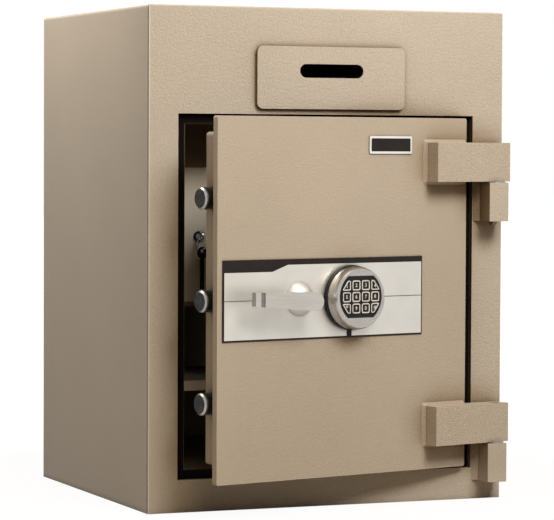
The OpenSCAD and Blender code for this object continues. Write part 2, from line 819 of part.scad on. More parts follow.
module pan_standoffs() color(dark_metal) on_door() for (x = standoff_x, z = standoff_z) difference() {
    rod_y(x, z, standoff_d, slab_back, pan_back - pan_t);
    rod_y(x, z, 5, pan_back - pan_t - 14, pan_back);
}

module pan_screws() color(dark_metal) on_door() for (x = standoff_x, z = standoff_z) {
    rod_y(x, z, 5, pan_back - pan_t - 12, pan_back);
    difference() {
        rod_y(x, z, 9, pan_back, pan_back + 2.4);
        box([x - 5, pan_back + 1.4, z - 0.6], [x + 5, pan_back + 3, z + 0.6]);
    }
}

// The arm's back end is round about its pin, so that it clears the front plate
module hinge_arms() color(paint) on_door() at_arms() difference() {
    linear_extrude(arm_h) {
        translate([arm_x0, arm_front]) square([arm_reach, arm_t]);
        translate([hinge_x, arm_front]) square([arm_over, arm_t - (hinge_out - slab_proud)]);
        intersection() {
            translate([hinge_x, hinge_y]) circle(arm_over);
            translate([hinge_x, arm_front]) square([arm_over + 1, arm_t]);
        }
    }
    translate([hinge_x, hinge_y, -1]) cylinder(r = pin_d / 2 + fit_gap, h = arm_h + 2);
}

module arm_welds() color(paint) on_door() at_arms() difference() {
    bead = arm_h + 2 * weld_leg;
    long = slab_x1 - slab_r - arm_x0 + weld_leg;
    union() {
        // Along the top and the foot of the arm
        for (side = [0, 1]) translate([0, 0, side * arm_h]) mirror([0, 0, 1 - side])
            bar_x(arm_x0, slab_x1 - slab_r) polygon([
                [slab_front, 0], [slab_front, weld_leg], [slab_front - weld_leg, 0]]);
        // Along the left end
        linear_extrude(arm_h) polygon([
            [arm_x0, slab_front], [arm_x0 - weld_leg, slab_front], [arm_x0, slab_front - weld_leg]]);
        // Round the two corners
        for (z = [0, arm_h]) intersection() {
            translate([arm_x0, slab_front, z]) rotate([90, 0, 0])
                cylinder(r1 = weld_leg, r2 = 0, h = weld_leg);
            box([arm_x0 - weld_leg, slab_front - weld_leg, z == 0 ? -weld_leg : arm_h],
                [arm_x0, slab_front, z == 0 ? 0 : arm_h + weld_leg]);
        }
    }
}

// Front panel and badge
module handle_and_lead_holes(y0, y1) {
    rod_y(handle_x, slab_mid, spindle_d + 4 * fit_gap, y0, y1);
    rod_y(keypad_x, slab_mid, lead_hole_d, y0, y1);
}

module panel_back() color(black_plastic) on_door() difference() {
    box([panel_x0, panel_face, slab_mid - panel_h / 2], [panel_x1, slab_front, slab_mid + panel_h / 2]);
    handle_and_lead_holes(panel_face - 1, slab_front + 1);
}

module panel_front() color(silver) on_door() difference() {
    plate_y(trim_face, panel_face) polygon([
        [silver_x0, silver_z0], [silver_x1, silver_z0], [silver_x1, silver_z1],
        [silver_x0 + step_start + step_len, silver_z1],
        [silver_x0 + step_start, silver_z1 - panel_step],
        [silver_x0, silver_z1 - panel_step]]);
    handle_and_lead_holes(trim_face - 1, panel_face + 1);
    box([silver_x0 - 1, trim_face - 1, slab_mid - groove_w / 2],
        [silver_x1 + 1, trim_face + panel_front_t / 2, slab_mid + groove_w / 2]);
}

module badge_plate() color(silver) on_door() plate_y(slab_front - badge_t, slab_front)
    translate([arm_x0 - badge_from_arm - badge_w, slab_z1 - badge_down - badge_h]) round_rect(badge_w, badge_h, 2);

// Handle
module handle_rose() color(bright_metal) on_door() difference() {
    dome_r = (pow(rose_d / 2, 2) + pow(rose_h, 2)) / (2 * rose_h);
    intersection() {
        rod_y(handle_x, slab_mid, rose_d, trim_face - rose_h, trim_face);
        translate([handle_x, trim_face - rose_h + dome_r, slab_mid]) sphere(dome_r);
    }
    rod_y(handle_x, slab_mid, spindle_d + 2 * fit_gap, trim_face - rose_h - 1, trim_face + 1);
}

module handle_lever() color(bright_metal) on_door() difference() {
    plate_y(lever_front, lever_back) translate([handle_x, slab_mid]) {
        translate([0, -lever_drop]) circle(d = lever_hub_h);
        polygon([[0, lever_hub_h / 2 - lever_drop], [-lever_reach, lever_rise + lever_tip_h / 2],
            [-lever_reach, lever_rise - lever_tip_h / 2], [0, -lever_hub_h / 2 - lever_drop]]);
    }
    box([handle_x - lever_reach + lever_groove_in, lever_front - 1, slab_mid - lever_hub_h],
        [handle_x - lever_reach + lever_groove_in + lever_groove_w, lever_front + lever_groove_t,
         slab_mid + lever_hub_h]);
}

module handle_spindle() color(dark_metal) on_door() {
    rod_y(handle_x, slab_mid, neck_d, lever_back, trim_face - rose_h - 0.3);
    rod_y(handle_x, slab_mid, spindle_d, lever_back, crank_back);
}

module handle_crank() color(dark_metal) on_door() difference() {
    union() {
        rod_y(handle_x, slab_mid, crank_d, crank_y0, crank_back);
        rod_y(finger_x, finger_z, finger_d, crank_y0, carriage_y1 + 1);
    }
    rod_y(handle_x, slab_mid, spindle_d, crank_y0 - 1, crank_back + 1);
}

// Boltwork
module locking_bolts() color(bright_metal) on_door() for (z = bolt_zs) {
    translate([bolt_end, bolt_y, z]) rotate([0, 90, 0])
        cylinder(d1 = bolt_d - 2 * bolt_chamfer, d2 = bolt_d, h = bolt_chamfer);
    rod_x(bolt_y, z, bolt_d, bolt_end + bolt_chamfer, bar_x0);
}

module bolt_bushes() color(dark_metal) on_door() for (z = bolt_zs) difference() {
    box([bush_x0, slab_back, z - bolt_d / 2 - 5],
        [bush_x0 + bush_len, pan_back - pan_t - 0.5, z + bolt_d / 2 + 5]);
    rod_x(bolt_y, z, bolt_d + 2 * fit_gap, bush_x0 - 1, bush_x0 + bush_len + 1);
}

module bolt_carriage() color(dark_metal) on_door() difference() {
    slot_top = slab_mid - crank_r * cos(half_turn) + finger_d / 2 + finger_gap;
    slot_low = finger_low - finger_d / 2 - finger_gap;
    union() {
        // Upright bar that carries the three bolts
        box([bar_x0, carriage_y0 - 1.5, bolt_zs[0] - 18], [bar_x1, pan_back - pan_t - 6, bolt_zs[2] + 18]);
        // Tongue with the slot for the crank finger
        box([bar_x1, carriage_y0, slot_low - 7], [finger_x + finger_d / 2 + 14, carriage_y1, slot_top + 6]);
        // Long arm that the lock bolt drops into
        box([bar_x1, carriage_y0, arm_top - 18], [keypad_x + lock_bolt_w / 2 + 14, carriage_y1, arm_top]);
    }
    box([finger_x - finger_d / 2 - finger_gap, carriage_y0 - 2, slot_low],
        [finger_x + finger_d / 2 + finger_gap, carriage_y1 + 1, slot_top]);
    box([keypad_x - lock_bolt_w / 2 - notch_gap, carriage_y0 - 2, lock_bolt_z0 - lock_bolt_travel - notch_gap],
        [keypad_x + lock_bolt_w / 2 + notch_gap, carriage_y1 + 1, arm_top + 1]);
}

module dog_bar() color(dark_metal) on_door()
    box([pan_x1 - dog_tail, dog_y0, slab_mid - dog_h / 2], [pan_x1 + dog_out, dog_y0 + dog_t, slab_mid + dog_h / 2]);

module lock_case() color(inner_grey) on_door() difference() {
    box([case_x0, slab_back, case_z0], [case_x0 + case_w, slab_back + case_d, case_z0 + case_h]);
    box([keypad_x - lock_bolt_w / 2 - 2 * fit_gap, lock_bolt_y0 - 2 * fit_gap, case_z0 - 1],
        [keypad_x + lock_bolt_w / 2 + 2 * fit_gap, lock_bolt_y0 + lock_bolt_t + 2 * fit_gap,
         lock_bolt_z0 + lock_bolt_len + 1]);
}

module lock_bolt() color(bright_metal) on_door()
    box([keypad_x - lock_bolt_w / 2, lock_bolt_y0, lock_bolt_z0],
        [keypad_x + lock_bolt_w / 2, lock_bolt_y0 + lock_bolt_t, lock_bolt_z0 + lock_bolt_len]);

// Keypad
module pad_outline(shrink) intersection() {
    circle(d = pad_d - 2 * shrink);
    square([pad_d, pad_h - 2 * shrink], center = true);
}

// Key outline; corner is 1 or -1 towards the cut corner, or 0 for a whole key
module key_outline(corner_x, corner_z, grow) {
    w = key_w / 2 + grow;
    h = key_h / 2 + grow;
    if (corner_x == 0) square([2 * w, 2 * h], center = true);
    else scale([corner_x, corner_z]) polygon([
        [-w, -h], [w, -h], [w, -h * 0.75], [-w * 0.25, h], [-w, h]]);
}

// Column 0 to 3 from the left, row 0 to 2 from the top
function key_x(column) = pad_x + (column - 1.5) * key_pitch_x;
function key_z(row) = pad_z + (1 - row) * key_pitch_z;
function corner_x(column, row) = row == 1 ? 0 : column == 0 ? -1 : column == 3 ? 1 : 0;

module keypad_base() color(black_plastic) on_door() difference() {
    union() {
        rod_y(keypad_x, slab_mid, keypad_base_d, base_face, trim_face);
        box([keypad_x - 4, trim_face - 1.5, silver_z0], [keypad_x + 2, trim_face, slab_mid]);
    }
    rod_y(keypad_x, slab_mid, lead_hole_d, base_face - 1, trim_face + 1);
}

module keypad_housing() color(silver) on_door() difference() {
    r = keypad_d / 2;
    front_r = keypad_front_d / 2;
    h = keypad_h;
    translate([keypad_x, base_face, slab_mid]) rotate([90, 0, 0]) rotate_extrude($fn = 96) polygon([
        [0, 0], [r, 0], [r, h * 0.45], [r - (r - front_r) * 0.25, h * 0.72],
        [r - (r - front_r) * 0.6, h * 0.9], [front_r, h], [0, h]]);
    plate_y(keypad_face - 1, pad_back) translate([pad_x, pad_z]) pad_outline(0);
    plate_y(keypad_face - 1, pocket_back) translate([pad_x, pad_z]) pad_outline(2.2);
    rod_y(keypad_x, slab_mid, keypad_d - 8, pocket_back + 2.5, base_face + 1);
}

module keypad_pad() color(black_plastic) on_door() difference() {
    plate_y(pad_face, pad_back) translate([pad_x, pad_z]) pad_outline(0);
    for (column = [0:3], row = [0:2]) plate_y(pad_face - 1, pad_back + 1)
        translate([key_x(column), key_z(row)]) key_outline(corner_x(column, row), 1 - row, key_gap);
}

module keypad_key(column, row) color(dark_metal) on_door() plate_y(key_face, key_back)
    translate([key_x(column), key_z(row)]) key_outline(corner_x(column, row), 1 - row, 0);

// Locker door, lock and keys
module locker_door() color(inner_grey) in_body() difference() {
    union() {
        box([locker_door_x0, locker_front, locker_door_z0],
            [locker_door_x1, locker_front + locker_t, locker_door_z1]);
        for (z = [locker_door_z0, locker_door_z1 - locker_t])
            box([locker_door_x0 + 14, locker_front, z],
                [locker_door_x1, locker_front + locker_flange, z + locker_t]);
    }
    rod_y(lock_x, lock_z, barrel_d, locker_front - 1, locker_front + locker_t + 1);
    translate([locker_pin_x, locker_pin_y, locker_z])
        cylinder(r = locker_pin_d / 2 + fit_gap, h = locker_z1 - locker_z);
}

module locker_lock() color(black_plastic) in_body() difference() {
    union() {
        rod_y(lock_x, lock_z, barrel_d + 2, lock_face, locker_front);
        rod_y(lock_x, lock_z, barrel_d, locker_front, barrel_back);
        translate([lock_x, locker_front + locker_t, lock_z]) rotate([-90, 0, 0])
            cylinder(d = barrel_d + 6, h = 4, $fn = 6);
    }
    rod_y(lock_x, lock_z, plug_d + 2 * fit_gap, lock_face - 1, barrel_back + 1);
}

// Blade drawn with its width upright; the slot in the plug is the blade with room round it
module blade(x, z, y0, y1, grow)
    box([x - blade_t / 2 - grow, y0, z - blade_w / 2 - grow], [x + blade_t / 2 + grow, y1, z + blade_w / 2 + grow]);

module locker_cam() color(bright_metal) in_body() difference() {
    union() {
        rod_y(lock_x, lock_z, plug_d, lock_face - 0.5, barrel_back + 0.4 + cam_t);
        plate_y(barrel_back + 0.4, barrel_back + 0.4 + cam_t) translate([lock_x, lock_z]) {
            circle(d = barrel_d + 2);
            translate([-5, 0]) square([10, cam_len]);
        }
    }
    blade(lock_x, lock_z, lock_face - 2, lock_face + 16, 2 * fit_gap);
}

module locker_key() color(black_plastic) in_body() {
    difference() {
        translate([lock_x - key_head_t / 2, head_y, lock_z]) rotate([0, 90, 0])
            cylinder(d = key_head_d, h = key_head_t);
        translate([lock_x - key_head_t, eye_y, lock_z]) rotate([0, 90, 0])
            cylinder(d = key_eye_d, h = key_head_t * 2);
    }
    blade(lock_x, lock_z, head_y + key_head_d / 2 - 2, lock_face + 15.5, 0);
}

module at_ring() translate([lock_x, eye_y, ring_z]) rotate([0, 0, ring_turn]) children();

module key_ring() color(bright_metal) in_body() at_ring() rotate([90, 0, 0])
    rotate_extrude($fn = 64) translate([ring_d / 2, 0]) circle(d = wire_d, $fn = 20);

module spare_key() color(black_plastic) in_body()
    translate([lock_x, eye_y, 0]) rotate([0, 0, spare_turn]) {
        difference() {
            rod_y(0, spare_head_z, key_head_d, -key_head_t / 2, key_head_t / 2);
            rod_y(0, spare_eye_z, key_eye_d, -key_head_t, key_head_t);
        }
        box([-blade_w / 2, -blade_t / 2, spare_head_z - key_head_d / 2 - blade_len],
            [blade_w / 2, blade_t / 2, spare_head_z - key_head_d / 2 + 1]);
    }

shell();
front_plate();
door_lip();
door_seal();
liner_wrap();
liner_sides();
liner_ceiling();
barrier_fill();
anchor_sleeves();
letter_plate();
slot_throat();
chute();
baffle();
locker_carcass();
locker_hinge_pins();
shelf();
shelf_brackets();
hinge_posts();
hinge_pins();
hinge_washers();
door_slab();
door_pan();
pan_standoffs();
pan_screws();
hinge_arms();
arm_welds();
panel_back();
panel_front();
badge_plate();
handle_rose();
lock_case();
bolt_bushes();
dog_bar();
keypad_base();
keypad_housing();
keypad_pad();
handle_lever();
handle_spindle();
handle_crank();
bolt_carriage();
locking_bolts();
lock_bolt();
keypad_key(0, 0);  // key_1
keypad_key(1, 0);  // key_2
keypad_key(2, 0);  // key_3
keypad_key(3, 0);  // key_4
keypad_key(0, 1);  // key_5
keypad_key(1, 1);  // key_6
keypad_key(2, 1);  // key_7
keypad_key(3, 1);  // key_8
keypad_key(0, 2);  // key_left
keypad_key(1, 2);  // key_9
keypad_key(2, 2);  // key_0
keypad_key(3, 2);  // key_right
locker_door();
locker_lock();
locker_cam();
locker_key();
key_ring();
spare_key();
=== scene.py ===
import json
import math

import bmesh
import bpy
from bpy.props import FloatProperty, FloatVectorProperty, PointerProperty
from mathutils import Matrix, Vector


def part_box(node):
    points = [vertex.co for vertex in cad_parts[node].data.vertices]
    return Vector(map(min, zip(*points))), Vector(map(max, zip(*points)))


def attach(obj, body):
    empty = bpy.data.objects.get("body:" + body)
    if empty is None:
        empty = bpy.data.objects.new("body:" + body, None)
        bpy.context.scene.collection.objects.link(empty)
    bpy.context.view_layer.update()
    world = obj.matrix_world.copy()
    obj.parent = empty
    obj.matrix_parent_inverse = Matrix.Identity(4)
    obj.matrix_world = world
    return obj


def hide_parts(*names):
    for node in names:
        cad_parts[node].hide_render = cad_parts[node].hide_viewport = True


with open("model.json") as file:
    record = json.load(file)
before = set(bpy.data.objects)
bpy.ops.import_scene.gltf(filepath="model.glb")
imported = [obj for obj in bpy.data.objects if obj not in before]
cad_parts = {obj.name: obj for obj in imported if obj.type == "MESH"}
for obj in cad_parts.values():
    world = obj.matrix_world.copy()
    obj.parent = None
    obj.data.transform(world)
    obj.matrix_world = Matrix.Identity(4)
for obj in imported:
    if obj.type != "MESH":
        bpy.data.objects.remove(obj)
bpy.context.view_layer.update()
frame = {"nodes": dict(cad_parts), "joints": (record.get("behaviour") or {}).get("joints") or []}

bl_info = {
    "name": "Deposit safe dresser",
    "version": (1, 0, 0),
    "blender": (4, 5, 0),
    "location": "View3D > Sidebar > Safe",
    "description": "Finishes and small pieces of a deposit safe with slot, keypad door and locker",
    "category": "Object",
}

NODES = frame["nodes"]
JOINTS = {joint["name"]: joint for joint in frame["joints"]}

# The door stands open; pieces on it are drawn shut and swung by the same angle.
HINGE = Vector(JOINTS["door_swing"]["pos_m"])
DOOR_ANGLE = -math.radians(JOINTS["door_swing"]["range_deg"][0])
SWING = (Matrix.Translation(HINGE) @ Matrix.Rotation(DOOR_ANGLE, 4, "Z")
         @ Matrix.Translation(-HINGE))
UNSWING = SWING.inverted()

# Directions that faces look along
FRONT = (0, -1, 0)
DOWN = (0, 0, -1)
DOOR_SIDE = tuple(SWING.to_3x3() @ Vector((-1, 0, 0)))

# Parts of a noise pattern's range that are stretched to the whole of a shade's range
SOFT = (0.25, 0.75)
CRISP = (0.3, 0.7)

# Numerals and signs of the keys
LEGENDS = {"key_1": "1", "key_2": "2", "key_3": "3", "key_4": "4", "key_5": "5", "key_6": "6",
           "key_7": "7", "key_8": "8", "key_left": "*", "key_9": "9", "key_0": "0",
           "key_right": "#"}

# Lamps: name, the setting with its power, width, place and colour
LAMPS = (
    ("Key_lamp", "key_power", 0.85, (0.36, -1.66, 1.66), (0.95, 0.975, 1.0)),
    ("Front_lamp", "front_power", 1.0, (-0.30, -1.90, 1.60), (1.0, 0.80, 0.56)),
    ("Side_lamp", "side_power", 0.5, (-0.65, 0.17, 1.15), (1.0, 0.965, 0.91)),
    ("Top_lamp", "top_power", 1.0, (0.0, -0.60, 1.70), (1.0, 1.0, 1.0)),
)
LAMP_TARGET = Vector((0, 0, 0.32))
FILL_COLOUR = (1.0, 0.74, 0.50, 1)
WHITE = (1, 1, 1, 1)

# The camera's place, and its yaw, pitch and roll in degrees
CAMERA_PLACE = Vector((-1.4572, -3.5598, 0.4700))
CAMERA_TURN = (-22.498, -2.326, 0.261)
SENSOR_WIDTH = 36
NEAREST, FARTHEST = 0.05, 60

# The floor: half its width, the strength of its white glow, and the distances from the middle
# between which the shadow gives way to the glow
FLOOR_REACH = 14
FLOOR_GLOW = 1.12
SHADOW_END, GLOW_START = 0.5, 1.2

# Edge radii of bent sheet and of thin plates
SHEET_EDGE = 0.0006
PLATE_EDGE = 0.0003


# ---- Settings that a user may change ----

class SafePaintSettings(bpy.types.PropertyGroup):
    """Textured paint of the cabinet and the door."""
    colour: FloatVectorProperty(
        name="Paint", description="Colour of the textured paint",
        default=(0.515, 0.435, 0.34), subtype="COLOR", min=0, max=1)
    # The liner's dark tone is partly its own colour and partly painted shade for the dark inside
    # the cabinet
    inner_colour: FloatVectorProperty(
        name="Inner paint", description="Colour of the liner and the chute",
        default=(0.22, 0.155, 0.10), subtype="COLOR", min=0, max=1)
    locker_colour: FloatVectorProperty(
        name="Locker paint", description="Colour of the locker door and the shelf",
        default=(0.64, 0.57, 0.46), subtype="COLOR", min=0, max=1)
    grain: FloatProperty(
        name="Grain", description="Size of the grain of the paint",
        default=0.00135, min=0.0005, max=0.01, subtype="DISTANCE", unit="LENGTH")
    depth: FloatProperty(
        name="Grain depth", description="Height of the grain of the paint",
        default=0.0002, min=0, max=0.001, subtype="DISTANCE", unit="LENGTH")
    edge: FloatProperty(
        name="Edge radius", description="Rounding of painted edges",
        default=0.0012, min=0.0002, max=0.004, subtype="DISTANCE", unit="LENGTH")


class SafeMetalSettings(bpy.types.PropertyGroup):
    """Bare and plated metal."""
    handle_colour: FloatVectorProperty(
        name="Handle", description="Colour of the satin handle",
        default=(0.50, 0.465, 0.415), subtype="COLOR", min=0, max=1)
    panel_colour: FloatVectorProperty(
        name="Front panel", description="Colour of the silver panel",
        default=(0.64, 0.61, 0.55), subtype="COLOR", min=0, max=1)
    steel_colour: FloatVectorProperty(
        name="Bolts", description="Colour of the machined bolts",
        default=(0.50, 0.48, 0.45), subtype="COLOR", min=0, max=1)
    keypad_colour: FloatVectorProperty(
        name="Keypad housing", description="Colour of the turned keypad housing",
        default=(0.44, 0.41, 0.375), subtype="COLOR", min=0, max=1)


class SafeKeypadSettings(bpy.types.PropertyGroup):
    """Keys of the lock's keypad."""
    legend_height: FloatProperty(
        name="Legend height", description="Height of the numerals on the keys",
        default=0.0062, min=0.002, max=0.01, subtype="DISTANCE", unit="LENGTH")
    rim_width: FloatProperty(
        name="Key rim", description="Width of the light rim of a key",
        default=0.0017, min=0.0002, max=0.0025, subtype="DISTANCE", unit="LENGTH")
    legend_colour: FloatVectorProperty(
        name="Legend", description="Colour of the numerals and the key rims",
        default=(0.70, 0.66, 0.60), subtype="COLOR", min=0, max=1)


class SafeStudioSettings(bpy.types.PropertyGroup):
    """Lamps, floor and camera."""
    key_power: FloatProperty(
        name="Key lamp", description="Power of the lamp high in front on the right",
        default=33.8, min=0, max=1000, subtype="POWER", unit="POWER")
    front_power: FloatProperty(
        name="Front lamp", description="Power of the warm lamp high in front on the left",
        default=9.8, min=0, max=1000, subtype="POWER", unit="POWER")
    side_power: FloatProperty(
        name="Side lamp", description="Power of the lamp high on the left",
        default=6.3, min=0, max=1000, subtype="POWER", unit="POWER")
    top_power: FloatProperty(
        name="Top lamp", description="Power of the lamp over the door",
        default=3.5, min=0, max=1000, subtype="POWER", unit="POWER")
    fill: FloatProperty(
        name="Fill", description="Strength of the even light from all round",
        default=0.045, min=0, max=3)
    floor_colour: FloatVectorProperty(
        name="Floor", description="Colour of the studio floor",
        default=(0.34, 0.285, 0.22), subtype="COLOR", min=0, max=1)
    lens: FloatProperty(
        name="Lens", description="Focal length of the camera on a 36 mm sensor",
        default=181.27, min=20, max=400, subtype="DISTANCE_CAMERA")


# ---- Shader nodes ----

def feed(tree, socket, value):
    """Link a socket, or set it where the value is a constant."""
    if isinstance(value, bpy.types.NodeSocket):
        tree.links.new(value, socket)
    else:
        socket.default_value = value


def node(tree, kind, inputs=None, **settings):
    """Add a shader node, set its properties, and set or link its inputs by name or number."""
    made = tree.nodes.new(kind)
    for key, value in settings.items():
        setattr(made, key, value)
    for key, value in (inputs or {}).items():
        feed(tree, made.inputs[key], value)
    return made


def maths(tree, operation, a, b):
    """Result of a sum on two values."""
    return node(tree, "ShaderNodeMath", {0: a, 1: b}, operation=operation).outputs[0]


def product(tree, first, *factors):
    """All factors multiplied."""
    for factor in factors:
        first = maths(tree, "MULTIPLY", first, factor)
    return first


def spread(tree, value, low, high, from_low=0.0, from_high=1.0):
    """Map a pattern to another range, and hold it at the range's ends."""
    return node(tree, "ShaderNodeMapRange", {
        "Value": value, "From Min": from_low, "From Max": from_high,
        "To Min": low, "To Max": high}).outputs["Result"]


def band(tree, value, low, high, soft):
    """1 between two values and 0 outside, with soft ends."""
    rise = spread(tree, value, 0.0, 1.0, low - soft, low + soft)
    fall = spread(tree, value, 1.0, 0.0, high - soft, high + soft)
    return product(tree, rise, fall)


def here(tree):
    """Texture coordinates in metres, in the row frame."""
    return node(tree, "ShaderNodeTexCoord").outputs["Object"]


def xyz(tree, vector):
    """The X, Y and Z sockets of a vector."""
    return node(tree, "ShaderNodeSeparateXYZ", {"Vector": vector}).outputs


def place(tree, scale=(1, 1, 1), turn=0.0):
    """Texture coordinates in metres, turned about Z and stretched."""
    return node(tree, "ShaderNodeMapping", {
        "Vector": here(tree), "Scale": scale, "Rotation": (0, 0, turn)}).outputs["Vector"]


def door_place(tree):
    """X, Y and Z sockets of the texture coordinates that a door piece has with the door shut."""
    shut = node(tree, "ShaderNodeMapping", {
        "Vector": here(tree), "Rotation": (0, 0, -DOOR_ANGLE),
        "Location": UNSWING.to_translation()}, vector_type="POINT")
    return xyz(tree, shut.outputs["Vector"])


def facing(tree, direction, low, high):
    """1 on faces that look along a direction and 0 on others."""
    normal = node(tree, "ShaderNodeNewGeometry").outputs["Normal"]
    dot = node(tree, "ShaderNodeVectorMath", {0: normal, 1: direction}, operation="DOT_PRODUCT")
    return spread(tree, dot.outputs["Value"], 0.0, 1.0, low, high)


def noise(tree, vector, scale, detail=2.0, roughness=0.5):
    """A 0 to 1 noise pattern."""
    return node(tree, "ShaderNodeTexNoise", {
        "Vector": vector, "Scale": scale, "Detail": detail, "Roughness": roughness}).outputs["Fac"]


def openness(tree, reach, samples=6):
    """1 in the open, falling to 0 where other faces lie within reach."""
    return node(tree, "ShaderNodeAmbientOcclusion", {"Distance": reach},
                samples=samples).outputs["AO"]


def painted_corner_shade(tree, reach, dark):
    """1 in the open, falling to a darker painted shade in the corners between pieces."""
    return spread(tree, openness(tree, reach), dark, 1.0, 0.45, 0.9)


def worn_and_highlit_edges(tree, radius=0.0016):
    """1 on edges and 0 on flat faces, from the angle between a rounded and a plain normal."""
    rounded = node(tree, "ShaderNodeBevel", {"Radius": radius}, samples=4).outputs["Normal"]
    plain = node(tree, "ShaderNodeNewGeometry").outputs["Normal"]
    dot = node(tree, "ShaderNodeVectorMath", {0: rounded, 1: plain}, operation="DOT_PRODUCT")
    return spread(tree, dot.outputs["Value"], 1.0, 0.0, 0.75, 0.995)


def tint(tree, colour, factor):
    """A colour, or a colour socket, made lighter or darker by a factor pattern."""
    if not isinstance(colour, bpy.types.NodeSocket):
        colour = colour[:3]
    return node(tree, "ShaderNodeVectorMath", {0: colour, "Scale": factor},
                operation="SCALE").outputs["Vector"]


def start_material(name):
    """A new node material: returns it with its tree."""
    material = bpy.data.materials.new(name)
    material.use_nodes = True
    return material, material.node_tree


def finish(material, colour, shade, rough, height, relief, gloss=0.5, metallic=0.0):
    """Give a material its shaded colour, roughness and relief."""
    tree = material.node_tree
    shader = tree.nodes["Principled BSDF"]
    feed(tree, shader.inputs["Base Color"], tint(tree, colour, shade))
    feed(tree, shader.inputs["Roughness"], rough)
    shader.inputs["Specular IOR Level"].default_value = gloss
    shader.inputs["Metallic"].default_value = metallic
    bump = node(tree, "ShaderNodeBump", {"Height": height, "Distance": relief, "Strength": 1.0})
    tree.links.new(bump.outputs["Normal"], shader.inputs["Normal"])
    return material


# ---- Materials ----

def warm_painted_shade(tree, colour, reach):
    """A colour with a darker, warmer painted shade in the wide hollows between pieces, fading out
    near the floor.
    """
    # Tint of the painted shade where it is deepest
    shade_tint = (0.50, 0.41, 0.31)
    floor_start, floor_end = 0.03, 0.08
    near = spread(tree, openness(tree, reach), 1.0, 0.0, 0.5, 0.95)
    off_floor = spread(tree, xyz(tree, here(tree))["Z"], 0.0, 1.0, floor_start, floor_end)
    share = spread(tree, product(tree, near, off_floor), 1.0, 0.0)
    gain = [c * (1 - d) for c, d in zip(colour, shade_tint)]
    base = [c * d for c, d in zip(colour, shade_tint)]
    return node(tree, "ShaderNodeVectorMath", {0: share, 1: gain, 2: base},
                operation="MULTIPLY_ADD").outputs["Vector"]


def slot_shade(tree):
    """Painted shade on the walls of the letter slot, behind its rounded front edge."""
    low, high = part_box("slot_throat")
    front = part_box("letter_plate")[0].y
    at = xyz(tree, here(tree))
    soft, edge_start, edge_end, dark = 0.0004, 0.0010, 0.0018, 0.02
    inside = product(tree, band(tree, at["X"], low.x, high.x, soft),
                     band(tree, at["Z"], low.z, high.z, soft))
    behind = spread(tree, at["Y"], 0.0, 1.0, front + edge_start, front + edge_end)
    return spread(tree, product(tree, inside, behind), 1.0, dark)


def painted_edge_lines(tree):
    """Painted shade in a dark line just behind the front plate's face, standing in for a dark
    reflection, and a painted highlight along the plate's front edges.
    """
    low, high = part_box("front_plate")
    at = xyz(tree, here(tree))
    ahead = facing(tree, FRONT, 0.3, 0.6)
    dark_line_start, dark_line_end, dark_line_soft, dark_line_shade = 0.0008, 0.0052, 0.0006, 0.42
    rim_wide, rim_narrow, rim_soft, highlight_gain = 0.0016, 0.0006, 0.0005, 1.3
    under_floor = -1.0
    # Painted shade: a dark line on faces that do not look forward, just behind the front face
    line = band(tree, at["Y"], low.y + dark_line_start, low.y + dark_line_end, dark_line_soft)
    painted_dark_line = spread(tree, product(tree, line, spread(tree, ahead, 1.0, 0.0)), 1.0, dark_line_shade)
    # Painted highlight on the front face along its left, right and top edges
    inner = product(tree, band(tree, at["X"], low.x + rim_wide, high.x - rim_narrow, rim_soft),
                    band(tree, at["Z"], under_floor, high.z - rim_wide, rim_soft))
    rim = product(tree, spread(tree, inner, 1.0, 0.0), ahead)
    return product(tree, painted_dark_line, spread(tree, rim, 1.0, highlight_gain))


def textured_paint(name, colour, grain, depth, rough=0.42, wear_and_highlight=0.10, mottle=0.11,
                   gloss=0.12, hollows=0.045, corner=0.42, marks=()):
    """Stoved paint with a fine pebbled grain, lighter on edges as wear and as a painted highlight.

    hollows is the reach of the warm painted shade between pieces (0 for none), corner the
    painted shade in their corners, and marks are functions that give further painted light and
    shade."""
    material, tree = start_material(name)
    at = place(tree)
    pebbles = node(tree, "ShaderNodeTexVoronoi", {
        "Vector": at, "Scale": 0.55 / grain, "Randomness": 1.0},
        feature="SMOOTH_F1").outputs["Distance"]
    speckle = noise(tree, at, 0.9 / grain, 3.0, 0.6)
    broad = noise(tree, at, 5.0, 3.0)
    # Edges lighter as wear and as painted highlight; corners darker as painted shade
    shade = product(tree, spread(tree, speckle, 1 - mottle, 1 + mottle, *SOFT),
                    spread(tree, broad, 0.965, 1.035, *CRISP),
                    spread(tree, worn_and_highlit_edges(tree), 1.0, 1.0 + wear_and_highlight),
                    painted_corner_shade(tree, reach=0.009, dark=corner),
                    *[mark(tree) for mark in marks])
    height = product(tree, spread(tree, pebbles, 1.0, 0.0, 0.0, 0.8), speckle)
    return finish(material, warm_painted_shade(tree, colour, hollows) if hollows else colour, shade,
                  spread(tree, speckle, rough - 0.06, rough + 0.10, *CRISP), height,
                  relief=depth * 4, gloss=gloss)


def smooth_paint(name, colour, rough=0.38, front=1.0):
    """Powder coated sheet with slight orange peel, painted shade in the corners, a few rubs, and
    faces that look forward lit by the factor front as painted light.
    """
    material, tree = start_material(name)
    at = place(tree)
    broad = noise(tree, at, 7.0, 3.0, 0.6)
    rubs = noise(tree, place(tree, (60, 60, 900)), 1.0, 2.0, 0.6)
    # Painted shade in the corners; faces that look forward lit by front, a painted light
    shade = product(tree, spread(tree, broad, 0.95, 1.03, *CRISP),
                    spread(tree, openness(tree, reach=0.02, samples=4), 0.8, 1.0),
                    spread(tree, facing(tree, FRONT, 0.5, 0.9), 1.0, front))
    return finish(material, colour, shade, spread(tree, rubs, rough - 0.05, rough + 0.09, *CRISP),
                  noise(tree, at, 260.0), relief=0.00012, gloss=0.2)


